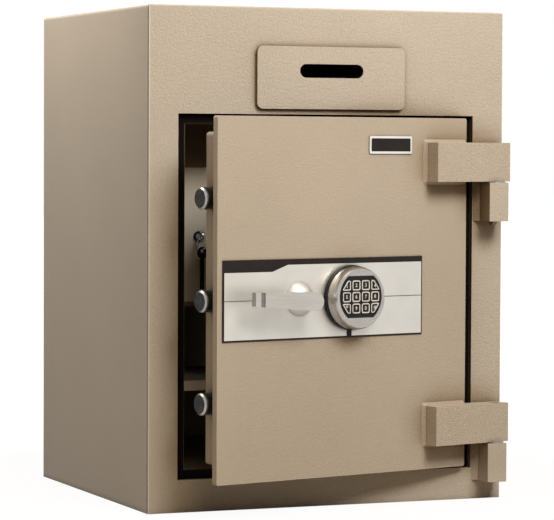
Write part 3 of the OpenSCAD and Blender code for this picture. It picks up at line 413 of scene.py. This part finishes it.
def brushed_metal(name, colour, rough=0.3, lines=(4, 4, 900), turn=0.0, relief=0.00004,
                  metallic=1.0, vary=0.08, marks=None):
    """Metal with fine brush lines along one direction and slight patches of tarnish."""
    material, tree = start_material(name)
    strokes = noise(tree, place(tree, lines, turn), 1.0, 3.0, 0.65)
    broad = noise(tree, place(tree), 22.0, 3.0, 0.55)
    shade = product(tree, spread(tree, strokes, 1.0 - vary, 1.0 + vary, *SOFT),
                    spread(tree, broad, 0.95, 1.04, *CRISP))
    if marks is not None:
        shade = product(tree, shade, marks(tree))
    return finish(material, colour, shade, spread(tree, strokes, rough - 0.06, rough + 0.10, *SOFT),
                  strokes, relief=relief, metallic=metallic)


def turned_metal(name, colour, centre, axis_turn, rough=0.28, pitch=0.0006):
    """Metal with turning marks in rings round an axis that lies level along the turned Y."""
    material, tree = start_material(name)
    at = here(tree)
    moved = node(tree, "ShaderNodeVectorMath", {0: at, 1: centre}, operation="SUBTRACT")
    turned = node(tree, "ShaderNodeMapping", {
        "Vector": moved.outputs["Vector"], "Rotation": (0, 0, -axis_turn)})
    parts = xyz(tree, turned.outputs["Vector"])
    flat = node(tree, "ShaderNodeCombineXYZ", {"X": parts["X"], "Z": parts["Z"]})
    radius = node(tree, "ShaderNodeVectorMath", {0: flat.outputs["Vector"]}, operation="LENGTH")
    profile = node(tree, "ShaderNodeCombineXYZ", {
        "X": radius.outputs["Value"], "Y": parts["Y"]})
    rings = noise(tree, profile.outputs["Vector"], 1.0 / pitch, 2.0, 0.6)
    broad = noise(tree, at, 40.0)
    speck = noise(tree, at, 900.0, 3.0, 0.7)
    shade = product(tree, spread(tree, rings, 0.86, 1.12, *SOFT),
                    spread(tree, broad, 0.92, 1.06, *CRISP),
                    spread(tree, speck, 0.8, 1.2, 0.35, 0.65))
    return finish(material, colour, shade, spread(tree, rings, rough - 0.05, rough + 0.10, *SOFT),
                  rings, relief=0.00003, metallic=1.0)


def moulded_plastic(name, colour, rough=0.42):
    """Moulded plastic with a fine spark-eroded grain."""
    material, tree = start_material(name)
    at = place(tree)
    fine = noise(tree, at, 900.0, 2.0, 0.6)
    broad = noise(tree, at, 60.0)
    return finish(material, colour, spread(tree, broad, 0.85, 1.2, *CRISP),
                  spread(tree, fine, rough - 0.08, rough + 0.12, *CRISP), fine,
                  relief=0.00004, gloss=0.16)


def rubber_strip(name, colour):
    """Matt sealing rubber with faint extrusion lines."""
    material, tree = start_material(name)
    lines = noise(tree, place(tree, (700, 700, 12)), 1.0, 2.0, 0.6)
    return finish(material, colour, spread(tree, lines, 0.8, 1.3, *CRISP), rough=0.8,
                  height=lines, relief=0.00008, gloss=0.06)


def concrete(name, colour):
    """Cast filling between the walls."""
    material, tree = start_material(name)
    stones = node(tree, "ShaderNodeTexVoronoi", {
        "Vector": place(tree), "Scale": 160.0}).outputs["Distance"]
    return finish(material, colour, spread(tree, stones, 0.8, 1.15), rough=0.9,
                  height=stones, relief=0.0006)


def scaled(colour, factor):
    """A plain colour made lighter or darker."""
    return [c * factor for c in colour]


def shaded_door_colour(paint):
    """The cabinet's paint made a little darker and warmer for the door, as painted shade where the
    door turns away from the key lamp.
    """
    return [c * k for c, k in zip(paint.colour, (0.94, 0.92, 0.89))]


# ---- Helpers for pieces ----

def dress(name, material, edge=0.0, segments=2):
    """Give a CAD node its finish, and round its edges if asked."""
    piece = NODES[name]
    piece.data.materials.clear()
    piece.data.materials.append(material)
    for face in piece.data.polygons:
        face.material_index = 0
    if edge > 0:
        rounding = piece.modifiers.new("Rounded edges", "BEVEL")
        rounding.width = edge
        rounding.segments = segments
        rounding.limit_method = "ANGLE"
        rounding.angle_limit = math.radians(40)
        rounding.harden_normals = False
    return piece


def smooth(piece, angle=30):
    """Smooth shading that keeps edges sharper than the angle."""
    piece.data.polygons.foreach_set("use_smooth", [True] * len(piece.data.polygons))
    piece.data.update()
    sharp = math.radians(angle)
    mesh = bmesh.new()
    mesh.from_mesh(piece.data)
    for edge in mesh.edges:
        edge.smooth = len(edge.link_faces) == 2 and edge.calc_face_angle(4.0) < sharp
    mesh.to_mesh(piece.data)
    mesh.free()


def link_object(name, data):
    """A new object in the scene."""
    made = bpy.data.objects.new(name, data)
    bpy.context.scene.collection.objects.link(made)
    return made


def add_door_piece(name, mesh, material, body):
    """Turn a bmesh drawn with the door shut into a finished piece that rides on a body."""
    data = bpy.data.meshes.new(name)
    bmesh.ops.recalc_face_normals(mesh, faces=mesh.faces)
    mesh.transform(SWING)
    mesh.to_mesh(data)
    mesh.free()
    data.materials.append(material)
    piece = link_object(name, data)
    smooth(piece, angle=35)
    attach(piece, body)
    return piece


def shut_points(name):
    """Points of a door node with the door shut."""
    return [UNSWING @ vertex.co for vertex in NODES[name].data.vertices]


def shut_box(name):
    """Lowest and highest corner of a door node with the door shut."""
    points = shut_points(name)
    return (Vector([min(p[i] for p in points) for i in range(3)]),
            Vector([max(p[i] for p in points) for i in range(3)]))


def average(corners):
    """Middle of a list of (x, z) corners."""
    return tuple(sum(c[i] for c in corners) / len(corners) for i in (0, 1))


def front_outline(name):
    """Y of a key's front face with the door shut, and its corners in order, as (x, z)."""
    points = shut_points(name)
    front = min(p.y for p in points)
    corners = {(round(p.x, 6), round(p.z, 6)) for p in points if p.y < front + 1e-5}
    cx, cz = average(corners)
    return front, sorted(corners, key=lambda c: math.atan2(c[1] - cz, c[0] - cx))


def round_corners(corners, radius, steps=5):
    """Outline with each corner replaced by a short curve."""
    made = []
    for i, corner in enumerate(corners):
        middle = Vector(corner)
        before = Vector(corners[i - 1]) - middle
        after = Vector(corners[(i + 1) % len(corners)]) - middle
        cut = min(radius, before.length * 0.45, after.length * 0.45)
        start, end = middle + before.normalized() * cut, middle + after.normalized() * cut
        for k in range(steps + 1):
            t = k / steps
            made.append(start * (1 - t) ** 2 + middle * 2 * t * (1 - t) + end * t ** 2)
    return made


def shrink(outline, amount):
    """Outline moved inwards."""
    made = []
    for i, point in enumerate(outline):
        along = (outline[(i + 1) % len(outline)] - outline[i - 1]).normalized()
        made.append(point + Vector((-along.y, along.x)) * amount)
    return made


def loft(rings, closed=True):
    """A skin over rings, each an (x, z) outline and its y, with faces at both ends if closed."""
    mesh = bmesh.new()
    loops = [[mesh.verts.new((p.x, y, p.y)) for p in outline] for outline, y in rings]
    for low, high in zip(loops, loops[1:]):
        for i in range(len(low)):
            j = (i + 1) % len(low)
            mesh.faces.new((low[i], low[j], high[j], high[i]))
    if closed:
        mesh.faces.new(loops[0])
        mesh.faces.new(loops[-1])
    return mesh


# ---- One operator for each piece or group ----

class SAFE_OT_painted_shell(bpy.types.Operator):
    """Paint the cabinet, the door plate, the bolt box and the hinges"""
    bl_idname = "safe.painted_shell"
    bl_label = "Painted cabinet and door"

    def execute(self, context):
        paint = context.scene.safe_paint
        # The door's paint is darker and warmer as painted shade
        own, door = paint.colour, shaded_door_colour(paint)
        grain, depth = paint.grain, paint.depth
        sides = textured_paint("Side_paint", own, grain, depth * 0.35, mottle=0.02, hollows=0,
                               marks=(painted_edge_lines,))
        front = textured_paint("Front_paint", own, grain, depth, corner=0.72,
                               marks=(painted_edge_lines, slot_shade))
        plate = textured_paint("Letter_plate_paint", own, grain, depth, corner=0.8,
                               marks=(slot_shade,))
        # The posts get a wider reach of the warm painted shade
        post = textured_paint("Post_paint", own, grain, depth, hollows=0.10)
        # The door's coat: edges lighter as wear and as painted highlight
        coat = textured_paint("Textured_paint", door, grain * 0.85, depth * 0.7, wear_and_highlight=0.2,
                              mottle=0.07)
        arms = textured_paint("Arm_paint", scaled(door, 1.04), grain * 0.75, depth * 1.3,
                              mottle=0.32, hollows=0)
        for name, layer in (("letter_plate", plate), ("hinge_posts", post),
                              ("door_slab", coat), ("hinge_arms", arms)):
            dress(name, layer, paint.edge, segments=3)
        for name, layer in (("shell", sides), ("front_plate", front), ("door_pan", coat)):
            smooth(dress(name, layer))
        dress("barrier_fill", concrete("Barrier_concrete", (0.32, 0.31, 0.29)))
        return {"FINISHED"}


class SAFE_OT_weld_beads(bpy.types.Operator):
    """Finish the weld beads of the hinge arms"""
    bl_idname = "safe.weld_beads"
    bl_label = "Weld beads"

    def execute(self, context):
        paint = context.scene.safe_paint
        coat = textured_paint("Painted_weld", scaled(shaded_door_colour(paint), 1.08), paint.grain * 1.1,
                              paint.depth * 0.7, rough=0.32, gloss=0.4, corner=0.6)
        dress("arm_welds", coat, edge=0.001, segments=3)
        return {"FINISHED"}


class SAFE_OT_inner_sheet(bpy.types.Operator):
    """Finish the liner, the lip, the chute, the locker and the shelf"""
    bl_idname = "safe.inner_sheet"
    bl_label = "Sheet metal inside"

    def execute(self, context):
        paint = context.scene.safe_paint
        coat = smooth_paint("Inner_paint", paint.inner_colour)
        light = smooth_paint("Locker_paint", paint.locker_colour)
        # The shelf's top darkened and its front lip lightened: painted light and shade
        lit_shelf = smooth_paint("Shelf_paint", scaled(paint.locker_colour, 0.6), front=2.4)
        dress("door_lip", smooth_paint("Lip_paint", (0.13, 0.095, 0.06)))
        for name in ("liner_wrap", "liner_sides", "liner_ceiling", "chute"):
            dress(name, coat)
        for name, sheet in (("locker_carcass", coat), ("locker_door", light),
                            ("lock_case", light), ("shelf", lit_shelf)):
            dress(name, sheet, SHEET_EDGE)
        return {"FINISHED"}


class SAFE_OT_door_seal(bpy.types.Operator):
    """Finish the sealing strip round the doorway"""
    bl_idname = "safe.door_seal"
    bl_label = "Door seal"

    def execute(self, context):
        dress("door_seal", rubber_strip("Seal_rubber", (0.005, 0.003, 0.002)))
        return {"FINISHED"}


class SAFE_OT_steel_fittings(bpy.types.Operator):
    """Finish the plated steel fittings, and the slot's throat and the baffle in near black as
    painted shade
    """
    bl_idname = "safe.steel_fittings"
    bl_label = "Steel fittings"

    def execute(self, context):
        zinc = brushed_metal("Zinc_steel", (0.42, 0.42, 0.41), rough=0.42, lines=(60, 60, 400))
        # Near black on the throat and the baffle: painted shade for the dark inside the slot
        black = rubber_strip("Black_paint", (0.006, 0.006, 0.006))
        for name in ("slot_throat", "baffle"):
            dress(name, black)
        for name in ("anchor_sleeves", "locker_hinge_pins", "shelf_brackets", "hinge_pins",
                     "hinge_washers", "pan_standoffs", "pan_screws", "bolt_bushes", "dog_bar",
                     "handle_spindle", "handle_crank", "bolt_carriage", "lock_bolt", "locker_cam"):
            smooth(dress(name, zinc))
        return {"FINISHED"}


class SAFE_OT_locking_bolts(bpy.types.Operator):
    """Finish the three locking bolts with knurled ends"""
    bl_idname = "safe.locking_bolts"
    bl_label = "Locking bolts"

    def execute(self, context):
        steel = self.machined(context.scene.safe_metal.steel_colour)
        smooth(dress("locking_bolts", steel))
        return {"FINISHED"}

    def machined(self, colour):
        """Bar with a bright rim, a knurled end and a shank; the end and the shank are darkened as
        painted shade.
        """
        material, tree = start_material("Bolt_steel")
        at = place(tree)
        tip = shut_box("locking_bolts")[0].x
        rim_end, shank_start = 0.0035, 0.0050
        grit = noise(tree, at, 1400.0, 3.0, 0.65)
        patch = noise(tree, at, 120.0)
        end = facing(tree, DOOR_SIDE, 0.93, 0.97)
        shank = spread(tree, door_place(tree)["X"], 0.0, 1.0, tip + rim_end, tip + shank_start)
        knurl = spread(tree, noise(tree, at, 620.0, 1.0), -0.7, 1.6, 0.38, 0.62)
        knurled_end = maths(tree, "ADD", product(tree, end, knurl), 1.0)
        # Painted shade: dark end face and dark shank
        shade = product(tree, spread(tree, grit, 0.75, 1.25, *CRISP),
                        spread(tree, patch, 0.85, 1.15, *CRISP), spread(tree, end, 0.66, 0.045),
                        knurled_end, spread(tree, shank, 1.0, 0.22))
        return finish(material, colour, shade, spread(tree, end, 0.36, 0.5), grit,
                      relief=0.00003, metallic=1.0)


class SAFE_OT_front_panel(bpy.types.Operator):
    """Finish the black and the silver plate and the blank badge"""
    bl_idname = "safe.front_panel"
    bl_label = "Front panel and badge"

    def execute(self, context):
        black = moulded_plastic("Black_plate", (0.016, 0.012, 0.010), rough=0.4)
        silver = brushed_metal("Silver_panel", context.scene.safe_metal.panel_colour, rough=0.42,
                               lines=(4, 4, 700), turn=-DOOR_ANGLE, relief=0.00001, metallic=0.8,
                               vary=0.02, marks=self.groove)
        bright = brushed_metal("Badge_metal", (0.80, 0.77, 0.71), rough=0.35, relief=0.00001,
                               vary=0.03)
        dress("panel_back", black, edge=0.0004)
        dress("panel_front", silver, PLATE_EDGE)
        dress("badge_plate", bright, edge=0.0005, segments=3)
        self.badge_field(black)
        return {"FINISHED"}

    def groove(self, tree):
        """Dark line of the groove along the middle of the panel, and painted shade in the corners
        next to other pieces.
        """
        low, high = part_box("panel_back")
        middle, half_width, soft = (low.z + high.z) / 2, 0.0005, 0.0003
        line = band(tree, door_place(tree)["Z"], middle - half_width, middle + half_width, soft)
        return product(tree, spread(tree, line, 1.0, 0.25), painted_corner_shade(tree, reach=0.006, dark=0.5))

    def badge_field(self, black):
        """Thin dark field on the badge, left blank."""
        low, high = shut_box("badge_plate")
        border, rise, sunk, corner = 0.003, 0.00015, 0.0003, 0.0015
        x0, x1, z0, z1 = low.x + border, high.x - border, low.z + border, high.z - border
        outline = round_corners([(x0, z0), (x1, z0), (x1, z1), (x0, z1)], corner)
        mesh = loft([(outline, low.y + sunk), (outline, low.y - rise)])
        add_door_piece("Badge_field", mesh, black, "door")


class SAFE_OT_lever_handle(bpy.types.Operator):
    """Finish the lever and its rose"""
    bl_idname = "safe.lever_handle"
    bl_label = "Lever handle"

    def execute(self, context):
        colour = context.scene.safe_metal.handle_colour
        satin = brushed_metal("Satin_handle", colour, rough=0.36, lines=(30, 30, 900),
                              turn=-DOOR_ANGLE, relief=0.00001, vary=0.12, marks=self.grip)
        collar = brushed_metal("Collar_metal", scaled(colour, 1.15), rough=0.5,
                               lines=(90, 90, 90), relief=0.00001, vary=0.05, marks=self.collar)
        smooth(dress("handle_lever", satin, edge=0.0014, segments=4), angle=40)
        smooth(dress("handle_rose", collar))
        return {"FINISHED"}

    def collar(self, tree):
        """Painted shade on the rose: darker under its rim and on the side that faces down."""
        below = facing(tree, (0.35, -0.10, -0.93), -0.1, 0.6)
        return product(tree, painted_corner_shade(tree, reach=0.006, dark=0.25),
                       spread(tree, below, 1.0, 0.85))

    def grip(self, tree):
        """Painted shade on the lever: a dark band over the groove near its end, a darker end face
        and underside, and darker corners.
        """
        end = shut_box("handle_lever")[0].x
        start, stop, soft = 0.0085, 0.0140, 0.0007
        groove = band(tree, door_place(tree)["X"], end + start, end + stop, soft)
        return product(tree, spread(tree, groove, 1.0, 0.42),
                       spread(tree, facing(tree, DOOR_SIDE, 0.6, 0.9), 1.0, 0.66),
                       spread(tree, facing(tree, DOWN, 0.05, 0.6), 1.0, 0.32),
                       painted_corner_shade(tree, reach=0.004, dark=0.5))


class SAFE_OT_keypad_housing(bpy.types.Operator):
    """Finish the turned housing, its base and the pad"""
    bl_idname = "safe.keypad_housing"
    bl_label = "Keypad housing"

    def execute(self, context):
        low, high = shut_box("keypad_housing")
        turned = turned_metal("Keypad_metal", context.scene.safe_metal.keypad_colour,
                              SWING @ ((low + high) / 2), DOOR_ANGLE)
        black = moulded_plastic("Black_plastic", (0.014, 0.013, 0.013))
        smooth(dress("keypad_housing", turned, edge=0.0006, segments=3))
        smooth(dress("keypad_base", black, edge=0.0005))
        dress("keypad_pad", black)
        return {"FINISHED"}


class SAFE_OT_keypad_keys(bpy.types.Operator):
    """Make each key with its rounded cap, light rim and numeral"""
    bl_idname = "safe.keypad_keys"
    bl_label = "Keypad keys"

    def execute(self, context):
        keypad = context.scene.safe_keypad
        cap_finish = moulded_plastic("Key_cap", (0.02, 0.019, 0.018), rough=0.34)
        rim_finish = moulded_plastic("Key_rim", keypad.legend_colour, rough=0.4)
        for name in LEGENDS:
            front, corners = front_outline(name)
            outline = round_corners(corners, radius=0.0030)
            self.make_cap(name, front, outline, keypad.rim_width, cap_finish)
            self.make_rim(name, front, outline, keypad.rim_width, rim_finish)
            self.make_legend(name, front, average(corners), keypad.legend_height, rim_finish)
        return {"FINISHED"}

    def make_cap(self, name, front, outline, rim_width, material):
        """Dark body of the key, from its back to just behind the rim."""
        shoulder, face, chamfer = front + 0.0006, front + 0.0003, 0.0003
        cap = loft([(outline, shut_box(name)[1].y), (outline, shoulder),
                    (shrink(outline, chamfer), face), (shrink(outline, rim_width), face)])
        piece = add_door_piece(name + "_cap", cap, material, name)
        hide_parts(name)

    def make_rim(self, name, front, outline, rim_width, material):
        """Light rim round the face of the key."""
        foot, shoulder = front + 0.0004, front + 0.00005
        foot_in, shoulder_in, ridge_in = 0.0001, 0.0002, rim_width * 0.85
        rim = loft([(shrink(outline, foot_in), foot), (shrink(outline, shoulder_in), shoulder),
                    (shrink(outline, ridge_in), front), (shrink(outline, rim_width), foot)],
                   closed=False)
        add_door_piece(name + "_rim", rim, material, name)

    def make_legend(self, name, front, middle, height, material):
        """Numeral or sign on the face of the key; the star is drawn larger."""
        sunk, star_scale = 0.00022, 1.4
        text = bpy.data.curves.new(name + "_legend", "FONT")
        text.body = LEGENDS[name]
        text.size = height * (star_scale if LEGENDS[name] == "*" else 1.0)
        text.align_x = "CENTER"
        text.align_y = "CENTER"
        text.extrude = 0.00006
        text.offset = 0.00012
        text.materials.append(material)
        legend = link_object(name + "_legend", text)
        upright = Matrix.Rotation(math.radians(90), 4, "X")
        spot = Matrix.Translation((middle[0], front + sunk, middle[1]))
        legend.matrix_world = SWING @ spot @ upright
        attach(legend, name)


class SAFE_OT_locker_keys(bpy.types.Operator):
    """Finish the locker's lock, its key, the ring and the spare key"""
    bl_idname = "safe.locker_keys"
    bl_label = "Locker lock and keys"

    def execute(self, context):
        black = moulded_plastic("Lock_black", (0.012, 0.011, 0.011), rough=0.3)
        nickel = brushed_metal("Key_nickel", (0.6, 0.59, 0.57), rough=0.22, lines=(300, 300, 300))
        dark = moulded_plastic("Key_black", (0.015, 0.013, 0.012), rough=0.4)
        smooth(dress("locker_lock", black, edge=0.0004))
        smooth(dress("locker_key", nickel, PLATE_EDGE))
        smooth(dress("key_ring", nickel), angle=60)
        smooth(dress("spare_key", dark, PLATE_EDGE))
        return {"FINISHED"}


class SAFE_OT_studio(bpy.types.Operator):
    """Set up the floor, the lamps and the camera at the photograph's angle"""
    bl_idname = "safe.studio"
    bl_label = "Studio"

    def execute(self, context):
        studio = context.scene.safe_studio
        self.floor(studio.floor_colour)
        self.world(studio.fill)
        for name, power, size, spot, colour in LAMPS:
            self.lamp(name, getattr(studio, power), size, spot, colour)
        self.camera(studio.lens)
        context.scene.view_settings.view_transform = "Standard"
        return {"FINISHED"}

    def floor(self, colour):
        """A floor that looks white away from the safe and keeps the shadow near it."""
        mesh = bmesh.new()
        bmesh.ops.create_grid(mesh, x_segments=8, y_segments=8, size=FLOOR_REACH)
        data = bpy.data.meshes.new("Studio_floor")
        mesh.to_mesh(data)
        mesh.free()
        material, tree = start_material("Studio_floor")
        shader = tree.nodes["Principled BSDF"]
        shade = spread(tree, noise(tree, place(tree), 30.0), 0.985, 1.015, *CRISP)
        feed(tree, shader.inputs["Base Color"], tint(tree, colour, shade))
        shader.inputs["Roughness"].default_value = 0.7
        ray = node(tree, "ShaderNodeLightPath").outputs
        seen = maths(tree, "MAXIMUM", ray["Is Camera Ray"], ray["Is Glossy Ray"])
        away = node(tree, "ShaderNodeVectorMath", {0: place(tree)}, operation="LENGTH")
        share = product(tree, seen, spread(tree, away.outputs["Value"], 0.85, 1.0,
                                           SHADOW_END, GLOW_START))
        glow = node(tree, "ShaderNodeEmission", {"Color": WHITE, "Strength": FLOOR_GLOW})
        both = node(tree, "ShaderNodeMixShader", {
            "Fac": share, 1: shader.outputs["BSDF"], 2: glow.outputs["Emission"]})
        tree.links.new(both.outputs["Shader"], tree.nodes["Material Output"].inputs["Surface"])
        data.materials.append(material)
        link_object("Studio_floor", data)

    def world(self, strength):
        """Warm even light, seen as plain white by the camera and in reflections."""
        world = bpy.data.worlds.new("Studio")
        bpy.context.scene.world = world
        world.use_nodes = True
        tree = world.node_tree
        lit = tree.nodes["Background"]
        lit.inputs["Color"].default_value = FILL_COLOUR
        lit.inputs["Strength"].default_value = strength
        white = node(tree, "ShaderNodeBackground", {"Color": WHITE, "Strength": 1.0})
        ray = node(tree, "ShaderNodeLightPath").outputs
        direct = maths(tree, "MAXIMUM", ray["Is Camera Ray"], ray["Is Transmission Ray"])
        seen = maths(tree, "MAXIMUM", direct, ray["Is Glossy Ray"])
        mix = node(tree, "ShaderNodeMixShader", {
            "Fac": seen, 1: lit.outputs["Background"], 2: white.outputs["Background"]})
        tree.links.new(mix.outputs["Shader"], tree.nodes["World Output"].inputs["Surface"])

    def lamp(self, name, power, size, spot, colour):
        """A round lamp that points at the safe."""
        light = bpy.data.lights.new(name, "AREA")
        light.energy = power
        light.color = colour
        light.shape = "DISK"
        light.size = size
        lamp = link_object(name, light)
        lamp.location = spot
        lamp.rotation_mode = "QUATERNION"
        lamp.rotation_quaternion = (LAMP_TARGET - lamp.location).to_track_quat("-Z", "Y")

    def camera(self, lens):
        """The camera at the photograph's viewing angle."""
        yaw, pitch, roll = (math.radians(a) for a in CAMERA_TURN)
        level = Vector((-math.sin(yaw), math.cos(yaw), 0))
        right = Vector((math.cos(yaw), math.sin(yaw), 0))
        ahead = level * math.cos(pitch) + Vector((0, 0, math.sin(pitch)))
        up = right.cross(ahead)
        side = right * math.cos(roll) + up * math.sin(roll)
        top = up * math.cos(roll) - right * math.sin(roll)
        data = bpy.data.cameras.new("Photo_camera")
        data.sensor_width = SENSOR_WIDTH
        data.sensor_fit = "HORIZONTAL"
        data.lens = lens
        data.clip_start, data.clip_end = NEAREST, FARTHEST
        camera = link_object("Photo_camera", data)
        basis = Matrix((side, top, -ahead)).transposed().to_4x4()
        camera.matrix_world = Matrix.Translation(CAMERA_PLACE) @ basis
        bpy.context.scene.camera = camera


OPERATORS = (
    SAFE_OT_studio, SAFE_OT_painted_shell, SAFE_OT_weld_beads, SAFE_OT_inner_sheet,
    SAFE_OT_door_seal, SAFE_OT_steel_fittings, SAFE_OT_locking_bolts, SAFE_OT_front_panel,
    SAFE_OT_lever_handle, SAFE_OT_keypad_housing, SAFE_OT_keypad_keys, SAFE_OT_locker_keys,
)
SETTINGS = (
    ("safe_paint", SafePaintSettings), ("safe_metal", SafeMetalSettings),
    ("safe_keypad", SafeKeypadSettings), ("safe_studio", SafeStudioSettings),
)


class SAFE_PT_panel(bpy.types.Panel):
    """Sidebar panel with the settings and one button for each piece"""
    bl_idname = "SAFE_PT_panel"
    bl_label = "Deposit safe"
    bl_space_type = "VIEW_3D"
    bl_region_type = "UI"
    bl_category = "Safe"

    def draw(self, context):
        for name, group in SETTINGS:
            box = self.layout.box()
            box.label(text=group.__doc__)
            for key in group.__annotations__:
                box.prop(getattr(context.scene, name), key)
        for operator in OPERATORS:
            self.layout.operator(operator.bl_idname)


def register():
    for name, group in SETTINGS:
        bpy.utils.register_class(group)
        setattr(bpy.types.Scene, name, PointerProperty(type=group))
    for operator in OPERATORS:
        bpy.utils.register_class(operator)
    bpy.utils.register_class(SAFE_PT_panel)


def unregister():
    bpy.utils.unregister_class(SAFE_PT_panel)
    for operator in reversed(OPERATORS):
        bpy.utils.unregister_class(operator)
    for name, group in reversed(SETTINGS):
        delattr(bpy.types.Scene, name)
        bpy.utils.unregister_class(group)


def main():
    register()
    for operator in OPERATORS:
        group, name = operator.bl_idname.split(".")
        getattr(getattr(bpy.ops, group), name)()
    bpy.context.view_layer.update()


if __name__ == "__main__":
    main()
